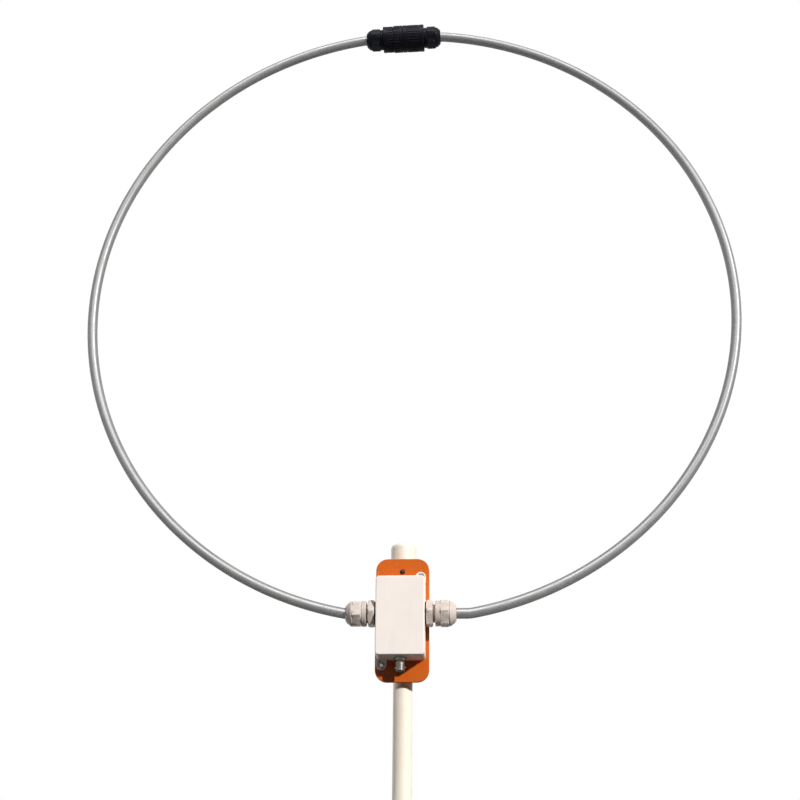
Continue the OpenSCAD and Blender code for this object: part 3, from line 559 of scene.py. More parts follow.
def hexReach(angle, flats, corner):
    off = (angle + math.pi / 6) % (math.pi / 3) - math.pi / 6
    middle = hexTip(flats) - corner / math.sin(math.pi / 3)
    if abs(off) < hexRounding(flats, corner):
        return middle * math.cos(off) + math.sqrt(corner ** 2 - (middle * math.sin(off)) ** 2)
    return flats / 2 / math.cos(math.pi / 6 - abs(off))


def hexAngles(flats, corner):
    limit = hexRounding(flats, corner)
    flat = math.pi / 3 - 2 * limit
    steps = hexRule["steps"]
    side = [limit * k / steps for k in range(-steps, steps + 1)]
    side += [limit + flat * k / 8 for k in hexRule["eighths"]]
    return [a + k * math.pi / 3 for k in range(6) for a in side]


# a closed shell over rings of points: the last ring joins the first, or both ends are filled
def shellOver(outlines, closed=False):
    bm = bmesh.new()
    rings = [[bm.verts.new(p) for p in outline] for outline in outlines]
    pairs = list(zip(rings, rings[1:] + rings[:1]))
    for lower, upper in pairs if closed else pairs[:-1]:
        for k in range(len(lower)):
            j = (k + 1) % len(lower)
            bm.faces.new((lower[k], lower[j], upper[j], upper[k]))
    if not closed:
        bm.faces.new(rings[0])
        bm.faces.new(rings[-1])
    bmesh.ops.remove_doubles(bm, verts=bm.verts, dist=1e-5)
    bmesh.ops.recalc_face_normals(bm, faces=bm.faces)
    return bm


nearAxis = 0.001  # a turned shell closes this close to its axis


# a turned shell about z: rows are (height, radius) or (height, radius, flats)
def turned(rows, flats=0, corner=0.6, sides=96):
    angles = hexAngles(flats, corner) if flats else [2 * math.pi * k / sides for k in range(sides)]
    outlines = []
    for z, radius, *across in rows:
        reach = [min([radius] + [hexReach(a, f, corner) for f in across]) for a in angles]
        outlines.append([(r * math.cos(a), r * math.sin(a), z) for r, a in zip(reach, angles)])
    return shellOver(outlines, True)


def withFlats(rows, flats):
    return [(z, r, flats) for z, r in rows]


# a band with six flats and both its ends chamfered, between two round parts
def hexBand(low, high, inner, outer, p):
    tip = hexTip(p["flats"]) + p["tipOver"]
    line = [(low, inner), (low, p["face"], p["faceEdge"]), (low + p["chamfer"], tip),
            (high - p["chamfer"], tip), (high, p["face"], p["faceEdge"]), (high, outer)]
    return withFlats(roundedLine(line, guard=p["guard"]), p["flats"])


# turns of a thread, as rows
threadForm = (0.35, 0.55, 0.9)  # where a turn's crest starts and ends, and its root, in shares of the pitch


def threadRows(start, end, radius, pitch, deep):
    rise, fall, root = threadForm
    rows = []
    z = start
    while z + pitch < end:
        rows += [(z, radius - deep), (z + rise * pitch, radius), (z + fall * pitch, radius),
                 (z + root * pitch, radius - deep)]
        z += pitch
    return rows


# skin over outlines across x and z, each at its own depth y
def skin(loops, middle):
    return shellOver([[(x + middle[0], y, z + middle[1]) for x, z in loop] for y, loop in loops])


def rectLoop(width, height, radius, inset, steps=10, least=0.05):
    w, h, r = width / 2 - inset, height / 2 - inset, max(radius - inset, least)
    loop = []
    for cx, cz, start in ((1, 1, 0), (-1, 1, 90), (-1, -1, 180), (1, -1, 270)):
        for k in range(steps + 1):
            x, z = onCircle(r, start + 90 * k / steps)
            loop.append((cx * (w - r) + x, cz * (h - r) + z))
    return loop


# a rounded box whose section follows a path of (depth, inset)
def boxSkin(p, path):
    loops = [(y, rectLoop(p["width"], p["height"], p["radius"], inset)) for y, inset in path]
    return skin(loops, p["middle"])


# how sharply each point stands out, kept on the mesh for the rubbed corners and for the painted highlight on
# the joiner's rib crests
rubAndHighlightBend = {"from": 0.14, "span": 0.3}


def markEdges(mesh):
    bm = bmesh.new()
    bm.from_mesh(mesh)
    sharp = [0.0] * len(bm.verts)
    for edge in bm.edges:
        if len(edge.link_faces) == 2:
            bend = (edge.calc_face_angle_signed(0.0) - rubAndHighlightBend["from"]) / rubAndHighlightBend["span"]
            for v in edge.verts:
                sharp[v.index] = max(sharp[v.index], min(1.0, max(0.0, bend)))
    bm.free()
    attribute = mesh.attributes.new("edgeRubAndHighlight", "FLOAT", "POINT")
    attribute.data.foreach_set("value", sharp)


def toMesh(name, bm):
    mesh = bpy.data.meshes.new(name)
    bm.to_mesh(mesh)
    bm.free()
    return mesh


# where a turned piece stands: its origin, its axis and the way its first corner faces
def standing(at, axis, facing):
    z = Vector(axis).normalized()
    x = (Vector(facing) - z * z.dot(Vector(facing))).normalized()
    turn = Matrix((x, z.cross(x), z)).transposed().to_4x4()
    return Matrix.Translation(Vector(at)) @ turn


inPlace = Matrix.Identity(4)


# one finished piece: moved into place, smoothed, painted, tied to its body, and standing in for its imported
# node, which is hidden
def addPiece(name, mesh, where, finish, body, sharp=32.0):
    mesh.name = name
    mesh.transform(Matrix.Scale(mm, 4) @ where)
    mesh.update()
    for polygon in mesh.polygons:
        polygon.use_smooth = True
    mesh.set_sharp_from_angle(angle=math.radians(sharp))
    markEdges(mesh)
    mesh.materials.clear()
    mesh.materials.append(finishes[finish])
    piece = bpy.data.objects.new(name, mesh)
    scene.collection.objects.link(piece)
    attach(piece, body)
    packedName(finish)
    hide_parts(packedName(name))


def addTurned(name, rows, where, finish, body, **shape):
    addPiece(name, toMesh(name, turned(rows, **shape)), where, finish, body)


# the evaluated result of an object's modifiers as a plain mesh; the object itself is removed
def settle(ob):
    graph = bpy.context.evaluated_depsgraph_get()
    mesh = bpy.data.meshes.new_from_object(ob.evaluated_get(graph))
    bpy.data.objects.remove(ob)
    return mesh


def loose(name, mesh):
    ob = bpy.data.objects.new(name, mesh)
    scene.collection.objects.link(ob)
    return ob


# one solid out of two meshes
def combine(name, base, tool, how):
    first, second = loose(name, base), loose(name + "Tool", tool)
    cut = first.modifiers.new("cut", "BOOLEAN")
    cut.operation = how
    cut.solver = "EXACT"
    cut.object = second
    mesh = settle(first)
    bpy.data.objects.remove(second)
    return mesh


def blockMesh(name, low, high):
    bm = bmesh.new()
    bmesh.ops.create_cube(bm, size=1.0)
    for v in bm.verts:
        for i in range(3):
            v.co[i] = low[i] if v.co[i] < 0 else high[i]
    return toMesh(name, bm)


def rodMesh(name, radius, low, high, where, sides):
    bm = bmesh.new()
    bmesh.ops.create_cone(bm, cap_ends=True, segments=sides, radius1=radius, radius2=radius,
                          depth=high - low)
    bmesh.ops.translate(bm, verts=bm.verts, vec=(0, 0, (low + high) / 2))
    bmesh.ops.transform(bm, matrix=where, verts=bm.verts)
    return toMesh(name, bm)


# a Geometry Nodes tree with named inputs; values go in by socket identifier
def newTree(name, inputs):
    tree = bpy.data.node_groups.new(name, "GeometryNodeTree")
    tree.interface.new_socket("Geometry", in_out="INPUT", socket_type="NodeSocketGeometry")
    for label, kind in inputs.items():
        tree.interface.new_socket(label, in_out="INPUT", socket_type="NodeSocket" + kind)
    tree.interface.new_socket("Geometry", in_out="OUTPUT", socket_type="NodeSocketGeometry")
    return tree, tree.nodes.new("NodeGroupInput").outputs, tree.nodes.new("NodeGroupOutput").inputs


def applyTree(ob, tree, values):
    step = ob.modifiers.new(tree.name, "NODES")
    step.node_group = tree
    for item in tree.interface.items_tree:
        if item.item_type == "SOCKET" and item.in_out == "INPUT" and item.name in values:
            step[item.identifier] = values[item.name]
    ob.update_tag()
    return settle(ob)


def endTree(tree, geometry, material, out):
    real = put(tree, "GeometryNodeRealizeInstances", {0: geometry})
    painted = put(tree, "GeometryNodeSetMaterial", {"Geometry": real.outputs[0], "Material": material})
    tree.links.new(painted.outputs[0], out["Geometry"])


# a value kept with the geometry while it is built up
def keepValue(tree, geometry, kind, label, value):
    keep = put(tree, "GeometryNodeCaptureAttribute", {"Geometry": geometry}, domain="POINT")
    keep.capture_items.new(kind, label)
    tree.links.new(value, keep.inputs[label])
    return keep.outputs[0], keep.outputs[label]


# a hollow tube swept along a curve, with its run kept as an attribute
def makeSweepTree():
    inputs = {"Radius": "Float", "Bore": "Float", "Sides": "Int", "Material": "Material"}
    t, given, out = newTree("tubeSweep", inputs)
    along = put(t, "GeometryNodeSplineParameter").outputs["Length"]
    line, run = keepValue(t, given["Geometry"], "FLOAT", "run", along)
    walls = []
    for size in ("Radius", "Bore"):
        circle = {"Resolution": given["Sides"], "Radius": given[size]}
        ring = put(t, "GeometryNodeCurvePrimitiveCircle", circle).outputs["Curve"]
        place = put(t, "GeometryNodeInputPosition").outputs[0]
        outwards = put(t, "ShaderNodeVectorMath", {0: place}, operation="NORMALIZE").outputs[0]
        ring, around = keepValue(t, ring, "VECTOR", "around", outwards)
        swept = put(t, "GeometryNodeCurveToMesh", {"Curve": line, "Profile Curve": ring}).outputs[0]
        split = put(t, "ShaderNodeSeparateXYZ", {0: around}).outputs
        tubeRun = put(t, "ShaderNodeCombineXYZ", {0: split[0], 1: split[1], 2: run}).outputs[0]
        stored = {"Geometry": swept, "Name": "tubeRun", "Value": tubeRun}
        walls.append(put(t, "GeometryNodeStoreNamedAttribute", stored, data_type="FLOAT_VECTOR",
                         domain="POINT"))
    joined = put(t, "GeometryNodeJoinGeometry")
    for wall in walls:
        t.links.new(wall.outputs[0], joined.inputs[0])
    endTree(t, joined.outputs[0], given["Material"], out)
    return t


# ribs standing round a turned body
def makeRibTree():
    inputs = {"Rib": "Object", "Count": "Int", "Radius": "Float", "Middle": "Float", "Rib Size": "Vector",
              "Material": "Material"}
    t, given, out = newTree("gripRibs", inputs)
    ring = put(t, "GeometryNodeMeshCircle", {"Vertices": given["Count"], "Radius": given["Radius"]})
    raised = put(t, "ShaderNodeCombineXYZ", {2: given["Middle"]})
    points = put(t, "GeometryNodeSetPosition", {"Geometry": ring.outputs[0], "Offset": raised.outputs[0]})
    flat = stretch(t, put(t, "GeometryNodeInputPosition").outputs[0], (1, 1, 0))
    outwards = put(t, "FunctionNodeAlignRotationToVector", {"Vector": flat}, axis="X", pivot_axis="Z")
    rib = put(t, "GeometryNodeObjectInfo", {"Object": given["Rib"]}).outputs["Geometry"]
    ribs = {"Points": points.outputs[0], "Instance": rib, "Rotation": outwards.outputs[0],
            "Scale": given["Rib Size"]}
    stood = put(t, "GeometryNodeInstanceOnPoints", ribs)
    joined = put(t, "GeometryNodeJoinGeometry")
    t.links.new(stood.outputs[0], joined.inputs[0])
    t.links.new(given["Geometry"], joined.inputs[0])
    endTree(t, joined.outputs[0], given["Material"], out)
    return t


# screws or nuts on a set of points, each turned to its own angle by a fixed seed
def makeFastenerTree():
    inputs = {"Fastener": "Object", "Facing": "Rotation", "Seed": "Int", "Material": "Material"}
    t, given, out = newTree("fastenerSet", inputs)
    turns = {2: 0.0, 3: 2 * math.pi, "Seed": given["Seed"]}
    spin = put(t, "FunctionNodeRandomValue", turns, data_type="FLOAT").outputs[1]
    turn = put(t, "ShaderNodeCombineXYZ", {2: spin})
    spun = put(t, "FunctionNodeEulerToRotation", {0: turn.outputs[0]})
    both = {0: given["Facing"], 1: spun.outputs[0]}
    faced = put(t, "FunctionNodeRotateRotation", both, rotation_space="LOCAL").outputs[0]
    model = put(t, "GeometryNodeObjectInfo", {"Object": given["Fastener"]}).outputs["Geometry"]
    fasteners = {"Points": given["Geometry"], "Instance": model, "Rotation": faced}
    stood = put(t, "GeometryNodeInstanceOnPoints", fasteners)
    endTree(t, stood.outputs[0], given["Material"], out)
    return t


sweepTree, ribTree, fastenerTree = makeSweepTree(), makeRibTree(), makeFastenerTree()
print("mesh tools and trees ready")


# mast: a length of pipe and its moulded end cap
mastTop = nodeSpan("mast_pipe")[1][2]
capFoot, capTop = (corner[2] for corner in nodeSpan("mast_cap"))
mast = {"radius": 10.0, "bore": 8.5, "top": mastTop, "rim": 0.35}
endCap = {"radius": 13.5, "bore": 10.1, "foot": capFoot, "top": capTop, "inside": mastTop, "edge": 4.0,
          "rim": 0.6, "boreEdge": 0.3, "roof": 0.6, "gate": 2.4, "gateDeep": 0.35, "gateSlope": 0.3,
          "gateEdge": 0.2}


def buildMast(p, c):
    foot, top = 0, p["top"]
    pipe = [(z, r, p["rim"]) for z, r in ((foot, p["bore"]), (foot, p["radius"]), (top, p["radius"]),
                                          (top, p["bore"]))]
    addTurned("mastPipe", roundedLine(pipe, True), inPlace, "pvcWhite", "mast")
    gateFloor = c["top"] - c["gateDeep"]
    cap = [(c["foot"], c["bore"], c["boreEdge"]), (c["foot"], c["radius"], c["rim"]),
           (c["top"], c["radius"], c["edge"]), (c["top"], c["gate"], c["gateEdge"]),
           (gateFloor, c["gate"] - c["gateSlope"], c["gateEdge"]), (gateFloor, nearAxis),
           (c["inside"], nearAxis), (c["inside"], c["bore"], c["roof"])]
    addTurned("mastCap", roundedLine(cap, True), inPlace, "pvcWhite", "mast")


# the orange sheet behind the case
plateLow, plateHigh = nodeSpan("back_plate")
plate = {"width": plateHigh[0] - plateLow[0], "height": plateHigh[2] - plateLow[2],
         "middle": (0.0, (plateLow[2] + plateHigh[2]) / 2), "front": plateLow[1], "back": plateHigh[1],
         "radius": 12.5, "edge": 0.5, "faceIn": 14.0, "guard": 0.8}


def buildPlate(p):
    path = [(p["front"], p["faceIn"]), (p["front"], 0, p["edge"]), (p["back"], 0, p["edge"]),
            (p["back"], p["faceIn"])]
    sheet = boxSkin(p, roundedLine(path, guard=p["guard"]))
    addPiece("backPlate", toMesh("backPlate", sheet), inPlace, "plateOrange", "head")


# spring clips that hold the plate on the mast
clip = {"inner": 10.05, "outer": 12.35, "high": 12.0, "mouth": 84.0, "footWide": 15.0,
        "footAt": plate["back"], "tipRound": 0.9, "rootRound": 0.8, "footRound": 0.6, "guard": 0.2,
        "arcStep": 4, "arcCount": 24, "edge": 0.5, "edgeSteps": 3, "edgeFrom": 50.0,
        "heights": {side: nodeMiddle("pipe_clip_" + side)[2] for side in ("upper", "lower")}}


def clipOutline(p):
    gap, half = p["mouth"] / 2, p["footWide"] / 2
    inner = [onCircle(p["inner"], a) for a in range(int(90 - gap), int(-270 + gap) - 1, -p["arcStep"])]
    footTop = -math.sqrt(p["outer"] ** 2 - half ** 2)
    start, end = 90 + gap, 180 + math.degrees(math.asin(-footTop / p["outer"]))
    arc = [onCircle(p["outer"], start + (end - start) * k / p["arcCount"]) for k in range(p["arcCount"])]
    foot = [(-half, footTop, p["rootRound"]), (-half, p["footAt"], p["footRound"]),
            (half, p["footAt"], p["footRound"]), (half, footTop, p["rootRound"])]
    outer = arc + foot + [(-x, y) for x, y in reversed(arc)]
    for line in (inner, outer):
        line[0] += (p["tipRound"],)
        line[-1] += (p["tipRound"],)
    return roundedLine(inner + outer, True, guard=p["guard"])


def buildClips(p):
    outline = clipOutline(p)
    for side, height in p["heights"].items():
        bm = bmesh.new()
        face = bm.faces.new([bm.verts.new((x, y, -p["high"] / 2)) for x, y in outline])
        grown = bmesh.ops.extrude_face_region(bm, geom=[face])["geom"]
        raised = [g for g in grown if isinstance(g, bmesh.types.BMVert)]
        bmesh.ops.translate(bm, verts=raised, vec=(0, 0, p["high"]))
        bmesh.ops.recalc_face_normals(bm, faces=bm.faces)
        ob = loose("pipeClip", toMesh("pipeClip", bm))
        soft = ob.modifiers.new("soft", "BEVEL")
        soft.width = p["edge"]
        soft.segments = p["edgeSteps"]
        soft.limit_method = "ANGLE"
        soft.angle_limit = math.radians(p["edgeFrom"])
        where = Matrix.Translation((0, 0, height))
        addPiece("pipeClip" + side.title(), settle(ob), where, "pvcWhite", "head")


# the case: a tray with two ears on one diagonal, and its lid
lidLow, lidHigh = nodeSpan("case_lid")
case = {"width": lidHigh[0] - lidLow[0], "height": lidHigh[2] - lidLow[2], "bottom": lidLow[2],
        "middle": ((lidLow[0] + lidHigh[0]) / 2, (lidLow[2] + lidHigh[2]) / 2), "radius": 3.5,
        "back": plate["front"], "seam": nodeSpan("case_base")[0][1], "front": lidLow[1], "wall": 2.0,
        "floor": 2.5, "floorRound": 1.0, "edge": 0.5, "seamEdge": 0.3, "lipEdge": 0.2, "lidEdge": 1.2,
        "lidRound": 0.3, "faceIn": 9.0, "lidFaceIn": 12.0, "guard": 0.6, "sharp": 28.0}
glandAt = (case["middle"][0], nodeMiddle("loop_tube_left")[1], jointLine("loop_tilt")[0][2])
jackAt = (case["middle"][0], glandAt[1], case["bottom"])
caseHoles = {"gland": 9.1, "glandReach": 40.0, "glandSides": 96, "jack": 4.8, "jackReach": (-3.0, 1.0),
             "jackSides": 64}
ear = {"radius": 5.15, "wall": 1.2, "rim": 4.6, "floor": 2.0, "floorRound": 0.3, "floorIn": 1.5, "run": 6.4,
       "edge": 0.35, "guard": 0.25, "arcStep": 9}


# the ears stand past the lower left and the upper right corner
def earPlaces(c, e):
    x, z = c["middle"]
    across, rise = c["width"] / 2 - e["radius"], c["height"] / 2 + e["radius"]
    return [(x - across, z - rise, 1), (x + across, z + rise, -1)]


def earLoop(inset, e, turn):
    r, top = e["radius"] - inset, e["run"]
    arc = [onCircle(r, a) for a in range(0, -181, -e["arcStep"])]
    outline = [(r, top), (r, 0.5 * top)] + arc + [(-r, 0.5 * top), (-r, top)]
    return [(turn * x, turn * z) for x, z in outline]


def buildTray(c, e, holes):
    floorAt = c["back"] - c["floor"]
    path = [(c["back"], c["faceIn"]), (c["back"], 0, c["edge"]), (c["seam"], 0, c["seamEdge"]),
            (c["seam"], c["wall"], c["lipEdge"]), (floorAt, c["wall"], c["floorRound"]),
            (floorAt, c["faceIn"])]
    tray = toMesh("caseTray", boxSkin(c, roundedLine(path, guard=c["guard"])))
    rimAt, seatAt = c["back"] - e["rim"], c["back"] - e["floor"]
    rise = [(c["back"], 0), (rimAt, 0, e["edge"]), (rimAt, e["wall"], e["edge"]),
            (seatAt, e["wall"], e["floorRound"]), (seatAt, e["wall"] + e["floorIn"])]
    for x, z, turn in earPlaces(c, e):
        loops = [(y, earLoop(inset, e, turn)) for y, inset in roundedLine(rise, guard=e["guard"])]
        tray = combine("caseTray", tray, toMesh("caseEar", skin(loops, (x, z))), "UNION")
    across = standing(glandAt, (1, 0, 0), (0, -1, 0))
    reach = holes["glandReach"]
    bore = rodMesh("bore", holes["gland"], -reach, reach, across, holes["glandSides"])
    tray = combine("caseTray", tray, bore, "DIFFERENCE")
    under = standing(jackAt, (0, 0, -1), (1, 0, 0))
    bore = rodMesh("bore", holes["jack"], *holes["jackReach"], under, holes["jackSides"])
    tray = combine("caseTray", tray, bore, "DIFFERENCE")
    addPiece("caseBase", tray, inPlace, "caseWhite", "head", c["sharp"])


def buildLid(c):
    inside = c["front"] + c["wall"]
    path = [(c["front"], c["lidFaceIn"]), (c["front"], 0, c["lidEdge"]), (c["seam"], 0, c["seamEdge"]),
            (c["seam"], c["wall"], c["lipEdge"]), (inside, c["wall"], c["lidRound"]), (inside, c["faceIn"])]
    lid = boxSkin(c, roundedLine(path, guard=c["guard"]))
    addPiece("caseLid", toMesh("caseLid", lid), inPlace, "caseWhite", "head")


buildMast(mast, endCap)
buildPlate(plate)
buildClips(clip)
buildTray(case, ear, caseHoles)
buildLid(case)
print("mast, plate, clips and case built")


# cable glands, measured outwards from the case's side
gland = {"flats": 25.0, "corner": 0.7, "face": 12.9, "faceEdge": 0.1, "chamfer": 0.9, "tipOver": 0.2,
         "guard": 0.2, "thread": 9.0, "threadDeep": 0.45, "threadEnds": (0.4, 0.2), "inside": -7.5,
         "hexEnd": 8.0, "neck": 9.45, "neckDeep": 0.55, "neckEnds": (0.3, 0.8), "neckEnd": 22.0, "lead": 0.6,
         "pitch": 1.5, "bore": 5.8, "seat": 7.65, "seatDeep": 9.0}
glandWasher = {"thick": 1.4, "radius": 12.0, "bore": 9.1, "bulge": 0.25, "bulgeRound": 0.6, "edge": 0.3,
               "boreEdge": 0.1, "guard": 0.15}
glandNut = {"start": {"left": 9.9, "right": 10.5}, "turn": {"left": 16.0, "right": 0.0}, "long": 21.5,
            "bore": 9.75, "boreEdge": 0.3, "collar": 13.05, "collarLong": 4.5, "collarEdge": 0.5,
            "step": 0.7, "flats": 25.0, "corner": 1.0, "hexFoot": (0.35, 12.55), "hexFrom": 1.3,
            "hexTo": 1.0, "hexTop": (0.1, 12.6), "hexEnd": 14.5, "crown": 13.05, "crownEdge": 0.4,
            "crownLong": 1.2, "crownSlope": 0.1, "crownRound": 2.0, "dome": (1.6, 2.2), "domeRound": 3.5,
            "lip": 7.5, "lipRound": 1.0, "exit": 6.1, "exitEdge": 0.5, "seal": 22.7, "guard": 0.2,
            "collarGuard": 0.3}


def washerRows(w):
    line = [(0, w["bore"], w["boreEdge"]), (0, w["radius"], w["edge"]),
            (0.5 * w["thick"], w["radius"] + w["bulge"], w["bulgeRound"]),
            (w["thick"], w["radius"], w["edge"]), (w["thick"], w["bore"], w["boreEdge"])]
    return roundedLine(line, True, guard=w["guard"])


def glandRows(g, start):
    first, last = g["threadEnds"]
    rows = [(g["inside"], g["bore"]), (g["inside"], g["thread"] - g["lead"])]
    rows += threadRows(g["inside"] + first, -last, g["thread"], g["pitch"], g["threadDeep"])
    rows += [(start, g["thread"])]
    rows += hexBand(start, g["hexEnd"], g["thread"], g["neck"], g)
    first, last = g["neckEnds"]
    rows += threadRows(g["hexEnd"] + first, g["neckEnd"] - last, g["neck"], g["pitch"], g["neckDeep"])
    seatAt = g["neckEnd"] - g["seatDeep"]
    rows += [(g["neckEnd"], g["neck"] - g["lead"]), (g["neckEnd"], g["seat"]), (seatAt, g["seat"]),
             (seatAt, g["bore"])]
    return rows


def glandNutRows(n, start):
    tip = hexTip(n["flats"])
    collarEnd, hexEnd, end = start + n["collarLong"], start + n["hexEnd"], start + n["long"]
    root = n["collar"] - n["step"]
    collar = [(start, n["bore"], n["boreEdge"]), (start, n["collar"], n["collarEdge"]),
              (collarEnd, n["collar"], n["collarEdge"]), (collarEnd, root)]
    rows = roundedLine(collar, guard=n["collarGuard"])
    footRise, footRadius = n["hexFoot"]
    topDrop, topRadius = n["hexTop"]
    band = [(collarEnd, root), (collarEnd + footRise, footRadius), (collarEnd + n["hexFrom"], tip),
            (hexEnd - n["hexTo"], tip), (hexEnd - topDrop, topRadius)]
    rows += withFlats(roundedLine(band, guard=n["guard"]), n["flats"])
    domeDrop, domeOver = n["dome"]
    crown = [(hexEnd, n["crown"] - n["step"]), (hexEnd, n["crown"], n["crownEdge"]),
             (hexEnd + n["crownLong"], n["crown"] - n["crownSlope"], n["crownRound"]),
             (end - domeDrop, n["lip"] + domeOver, n["domeRound"]), (end, n["lip"], n["lipRound"]),
             (end, n["exit"], n["exitEdge"])]
    rows += roundedLine(crown, guard=n["guard"])
    return rows + [(n["seal"], n["exit"]), (n["seal"], n["bore"])]


def buildGlands(g, w, n):
    x, y, z = glandAt
    for name, way in (("left", -1), ("right", 1)):
        title, axis = name.title(), (way, 0, 0)
        base = (x + way * case["width"] / 2, y, z)
        place = standing(base, axis, (0, -1, 0))
        low = math.radians(n["turn"][name])
        nutPlace = standing(base, axis, (0, -math.cos(low), -math.sin(low)))
        nutRows = glandNutRows(n, n["start"][name])
        addTurned("glandWasher" + title, washerRows(w), place, "rubberBlack", "head")
        addTurned("glandBody" + title, glandRows(g, w["thick"]), place, "nylonGrey", "head",
                  flats=g["flats"], corner=g["corner"])
        addTurned("glandNut" + title, nutRows, nutPlace, "nylonGrey", name + "_gland_nut",
                  flats=n["flats"], corner=n["corner"])


# coaxial jack under the case, measured downwards from its under side
jack = {"flats": 12.7, "corner": 0.35, "face": 6.6, "faceEdge": 0.05, "chamfer": 0.5, "tipOver": 0.1,
        "guard": 0.1, "flange": 2.5, "thread": 4.7, "threadDeep": 0.35, "threadEnds": (0.3, 0.2),
        "pitch": 0.8, "lead": 0.5, "back": -9.5, "core": 2.5, "radius": 4.8, "end": 13.7, "endEdge": 0.3,
        "bore": 4.1, "boreEdge": 0.2, "boreFrom": 5.0, "neckLong": 0.9, "neckDeep": 0.5, "neckEdge": 0.1,
        "shoulder": 1.1, "shoulderEdge": 0.15, "grooveDeep": 0.22, "grooveEdge": 0.1,
        "grooveFrom": (2.2, 2.0), "grooveTo": (1.2, 1.0)}
jackWasher = {"thick": 0.8, "radius": 6.65, "bore": 4.8, "edge": 0.2, "boreEdge": 0.05, "sides": 64}
jackLug = {"at": 10.3, "from": 4.3, "reach": 5.6, "radius": 1.0, "edge": 0.25, "sides": 24}
jackCore = {"radius": 2.48, "bore": 0.72, "from": -9.5, "to": 11.7, "backEdge": 0.1, "edge": 0.25,
            "boreEdge": 0.15, "sides": 48}
jackPin = {"radius": 0.7, "from": -12.5, "to": 10.7, "backEdge": 0.15, "edge": 0.3, "sides": 32}


def jackRows(j, start, lugAt):
    flangeEnd = start + j["flange"]
    first, last = j["threadEnds"]
    rows = [(j["back"], j["core"]), (j["back"], j["thread"] - j["lead"])]
    rows += threadRows(j["back"] + first, -last, j["thread"], j["pitch"], j["threadDeep"])
    rows += [(start, j["thread"])]
    neck, groove = j["radius"] - j["neckDeep"], j["radius"] - j["grooveDeep"]
    rows += hexBand(start, flangeEnd, j["thread"], neck, j)
    grooveStart = [lugAt - back for back in j["grooveFrom"]]
    grooveStop = [j["end"] - back for back in j["grooveTo"]]
    barrel = [(flangeEnd, neck), (flangeEnd + j["neckLong"], neck, j["neckEdge"]),
              (flangeEnd + j["shoulder"], j["radius"], j["shoulderEdge"]),
              (grooveStart[0], j["radius"], j["grooveEdge"]), (grooveStart[1], groove, j["grooveEdge"]),
              (grooveStop[0], groove, j["grooveEdge"]), (grooveStop[1], j["radius"], j["grooveEdge"]),
              (j["end"], j["radius"], j["endEdge"]), (j["end"], j["bore"], j["boreEdge"]),
              (j["boreFrom"], j["bore"], j["boreEdge"]), (j["boreFrom"], j["core"])]
    return rows + roundedLine(barrel, guard=j["guard"])


def buildJack(j, w, lug, core, pin):
    place = standing(jackAt, (0, 0, -1), (1, 0, 0))
    ring = [(0, w["bore"], w["boreEdge"]), (0, w["radius"], w["edge"]),
            (w["thick"], w["radius"], w["edge"]), (w["thick"], w["bore"], w["boreEdge"])]
    washer = roundedLine(ring, True, guard=j["guard"])
    addTurned("jackWasher", washer, place, "jackNickel", "head", sides=w["sides"])

    shell = turned(jackRows(j, w["thick"], lug["at"]), j["flats"], j["corner"])
    bm = bmesh.new()
    bm.from_mesh(toMesh("jackShell", shell))
    line = [(lug["from"], nearAxis), (lug["from"], lug["radius"]),
            (lug["reach"], lug["radius"], lug["edge"]), (lug["reach"], nearAxis)]
    rows = roundedLine(line, guard=j["guard"])
    for way in (-1, 1):  # bayonet lugs
        peg = turned(rows, sides=lug["sides"])
        where = standing((0, 0, lug["at"]), (way, 0, 0), (0, 0, 1))
        bmesh.ops.transform(peg, matrix=where, verts=peg.verts)
        bm.from_mesh(toMesh("jackLug", peg))
    addPiece("jackBody", toMesh("jackBody", bm), place, "jackNickel", "head")

    line = [(core["from"], core["bore"]), (core["from"], core["radius"], core["backEdge"]),
            (core["to"], core["radius"], core["edge"]), (core["to"], core["bore"], core["boreEdge"])]
    rows = roundedLine(line, True, guard=j["guard"])
    addTurned("jackInsulator", rows, place, "jackInsulation", "head", sides=core["sides"])
    line = [(pin["from"], nearAxis), (pin["from"], pin["radius"], pin["backEdge"]),
            (pin["to"], pin["radius"], pin["edge"]), (pin["to"], nearAxis)]
    rows = roundedLine(line, guard=j["guard"])
    addTurned("jackContact", rows, place, "contactBrass", "head", sides=pin["sides"])


buildGlands(gland, glandWasher, glandNut)
buildJack(jack, jackWasher, jackLug, jackCore, jackPin)
print("glands and jack built")


# the loop: two halves of drawn tube, measured from the mast and up from the gland axis
tubeLoop = {"radius": 358.0, "tube": 5.5, "bore": 4.5, "shift": 7.3, "turn": 1.6, "flat": 59.0,
            "lowBend": 42.0, "topBend": 60.0, "topFlat": 42.7, "endIn": 14.0,
            "topEnds": {"left": -15.6, "right": 8.8}, "sides": 40, "step": 1.0, "lowSteps": 8, "topSteps": 6,
            "same": 0.05}


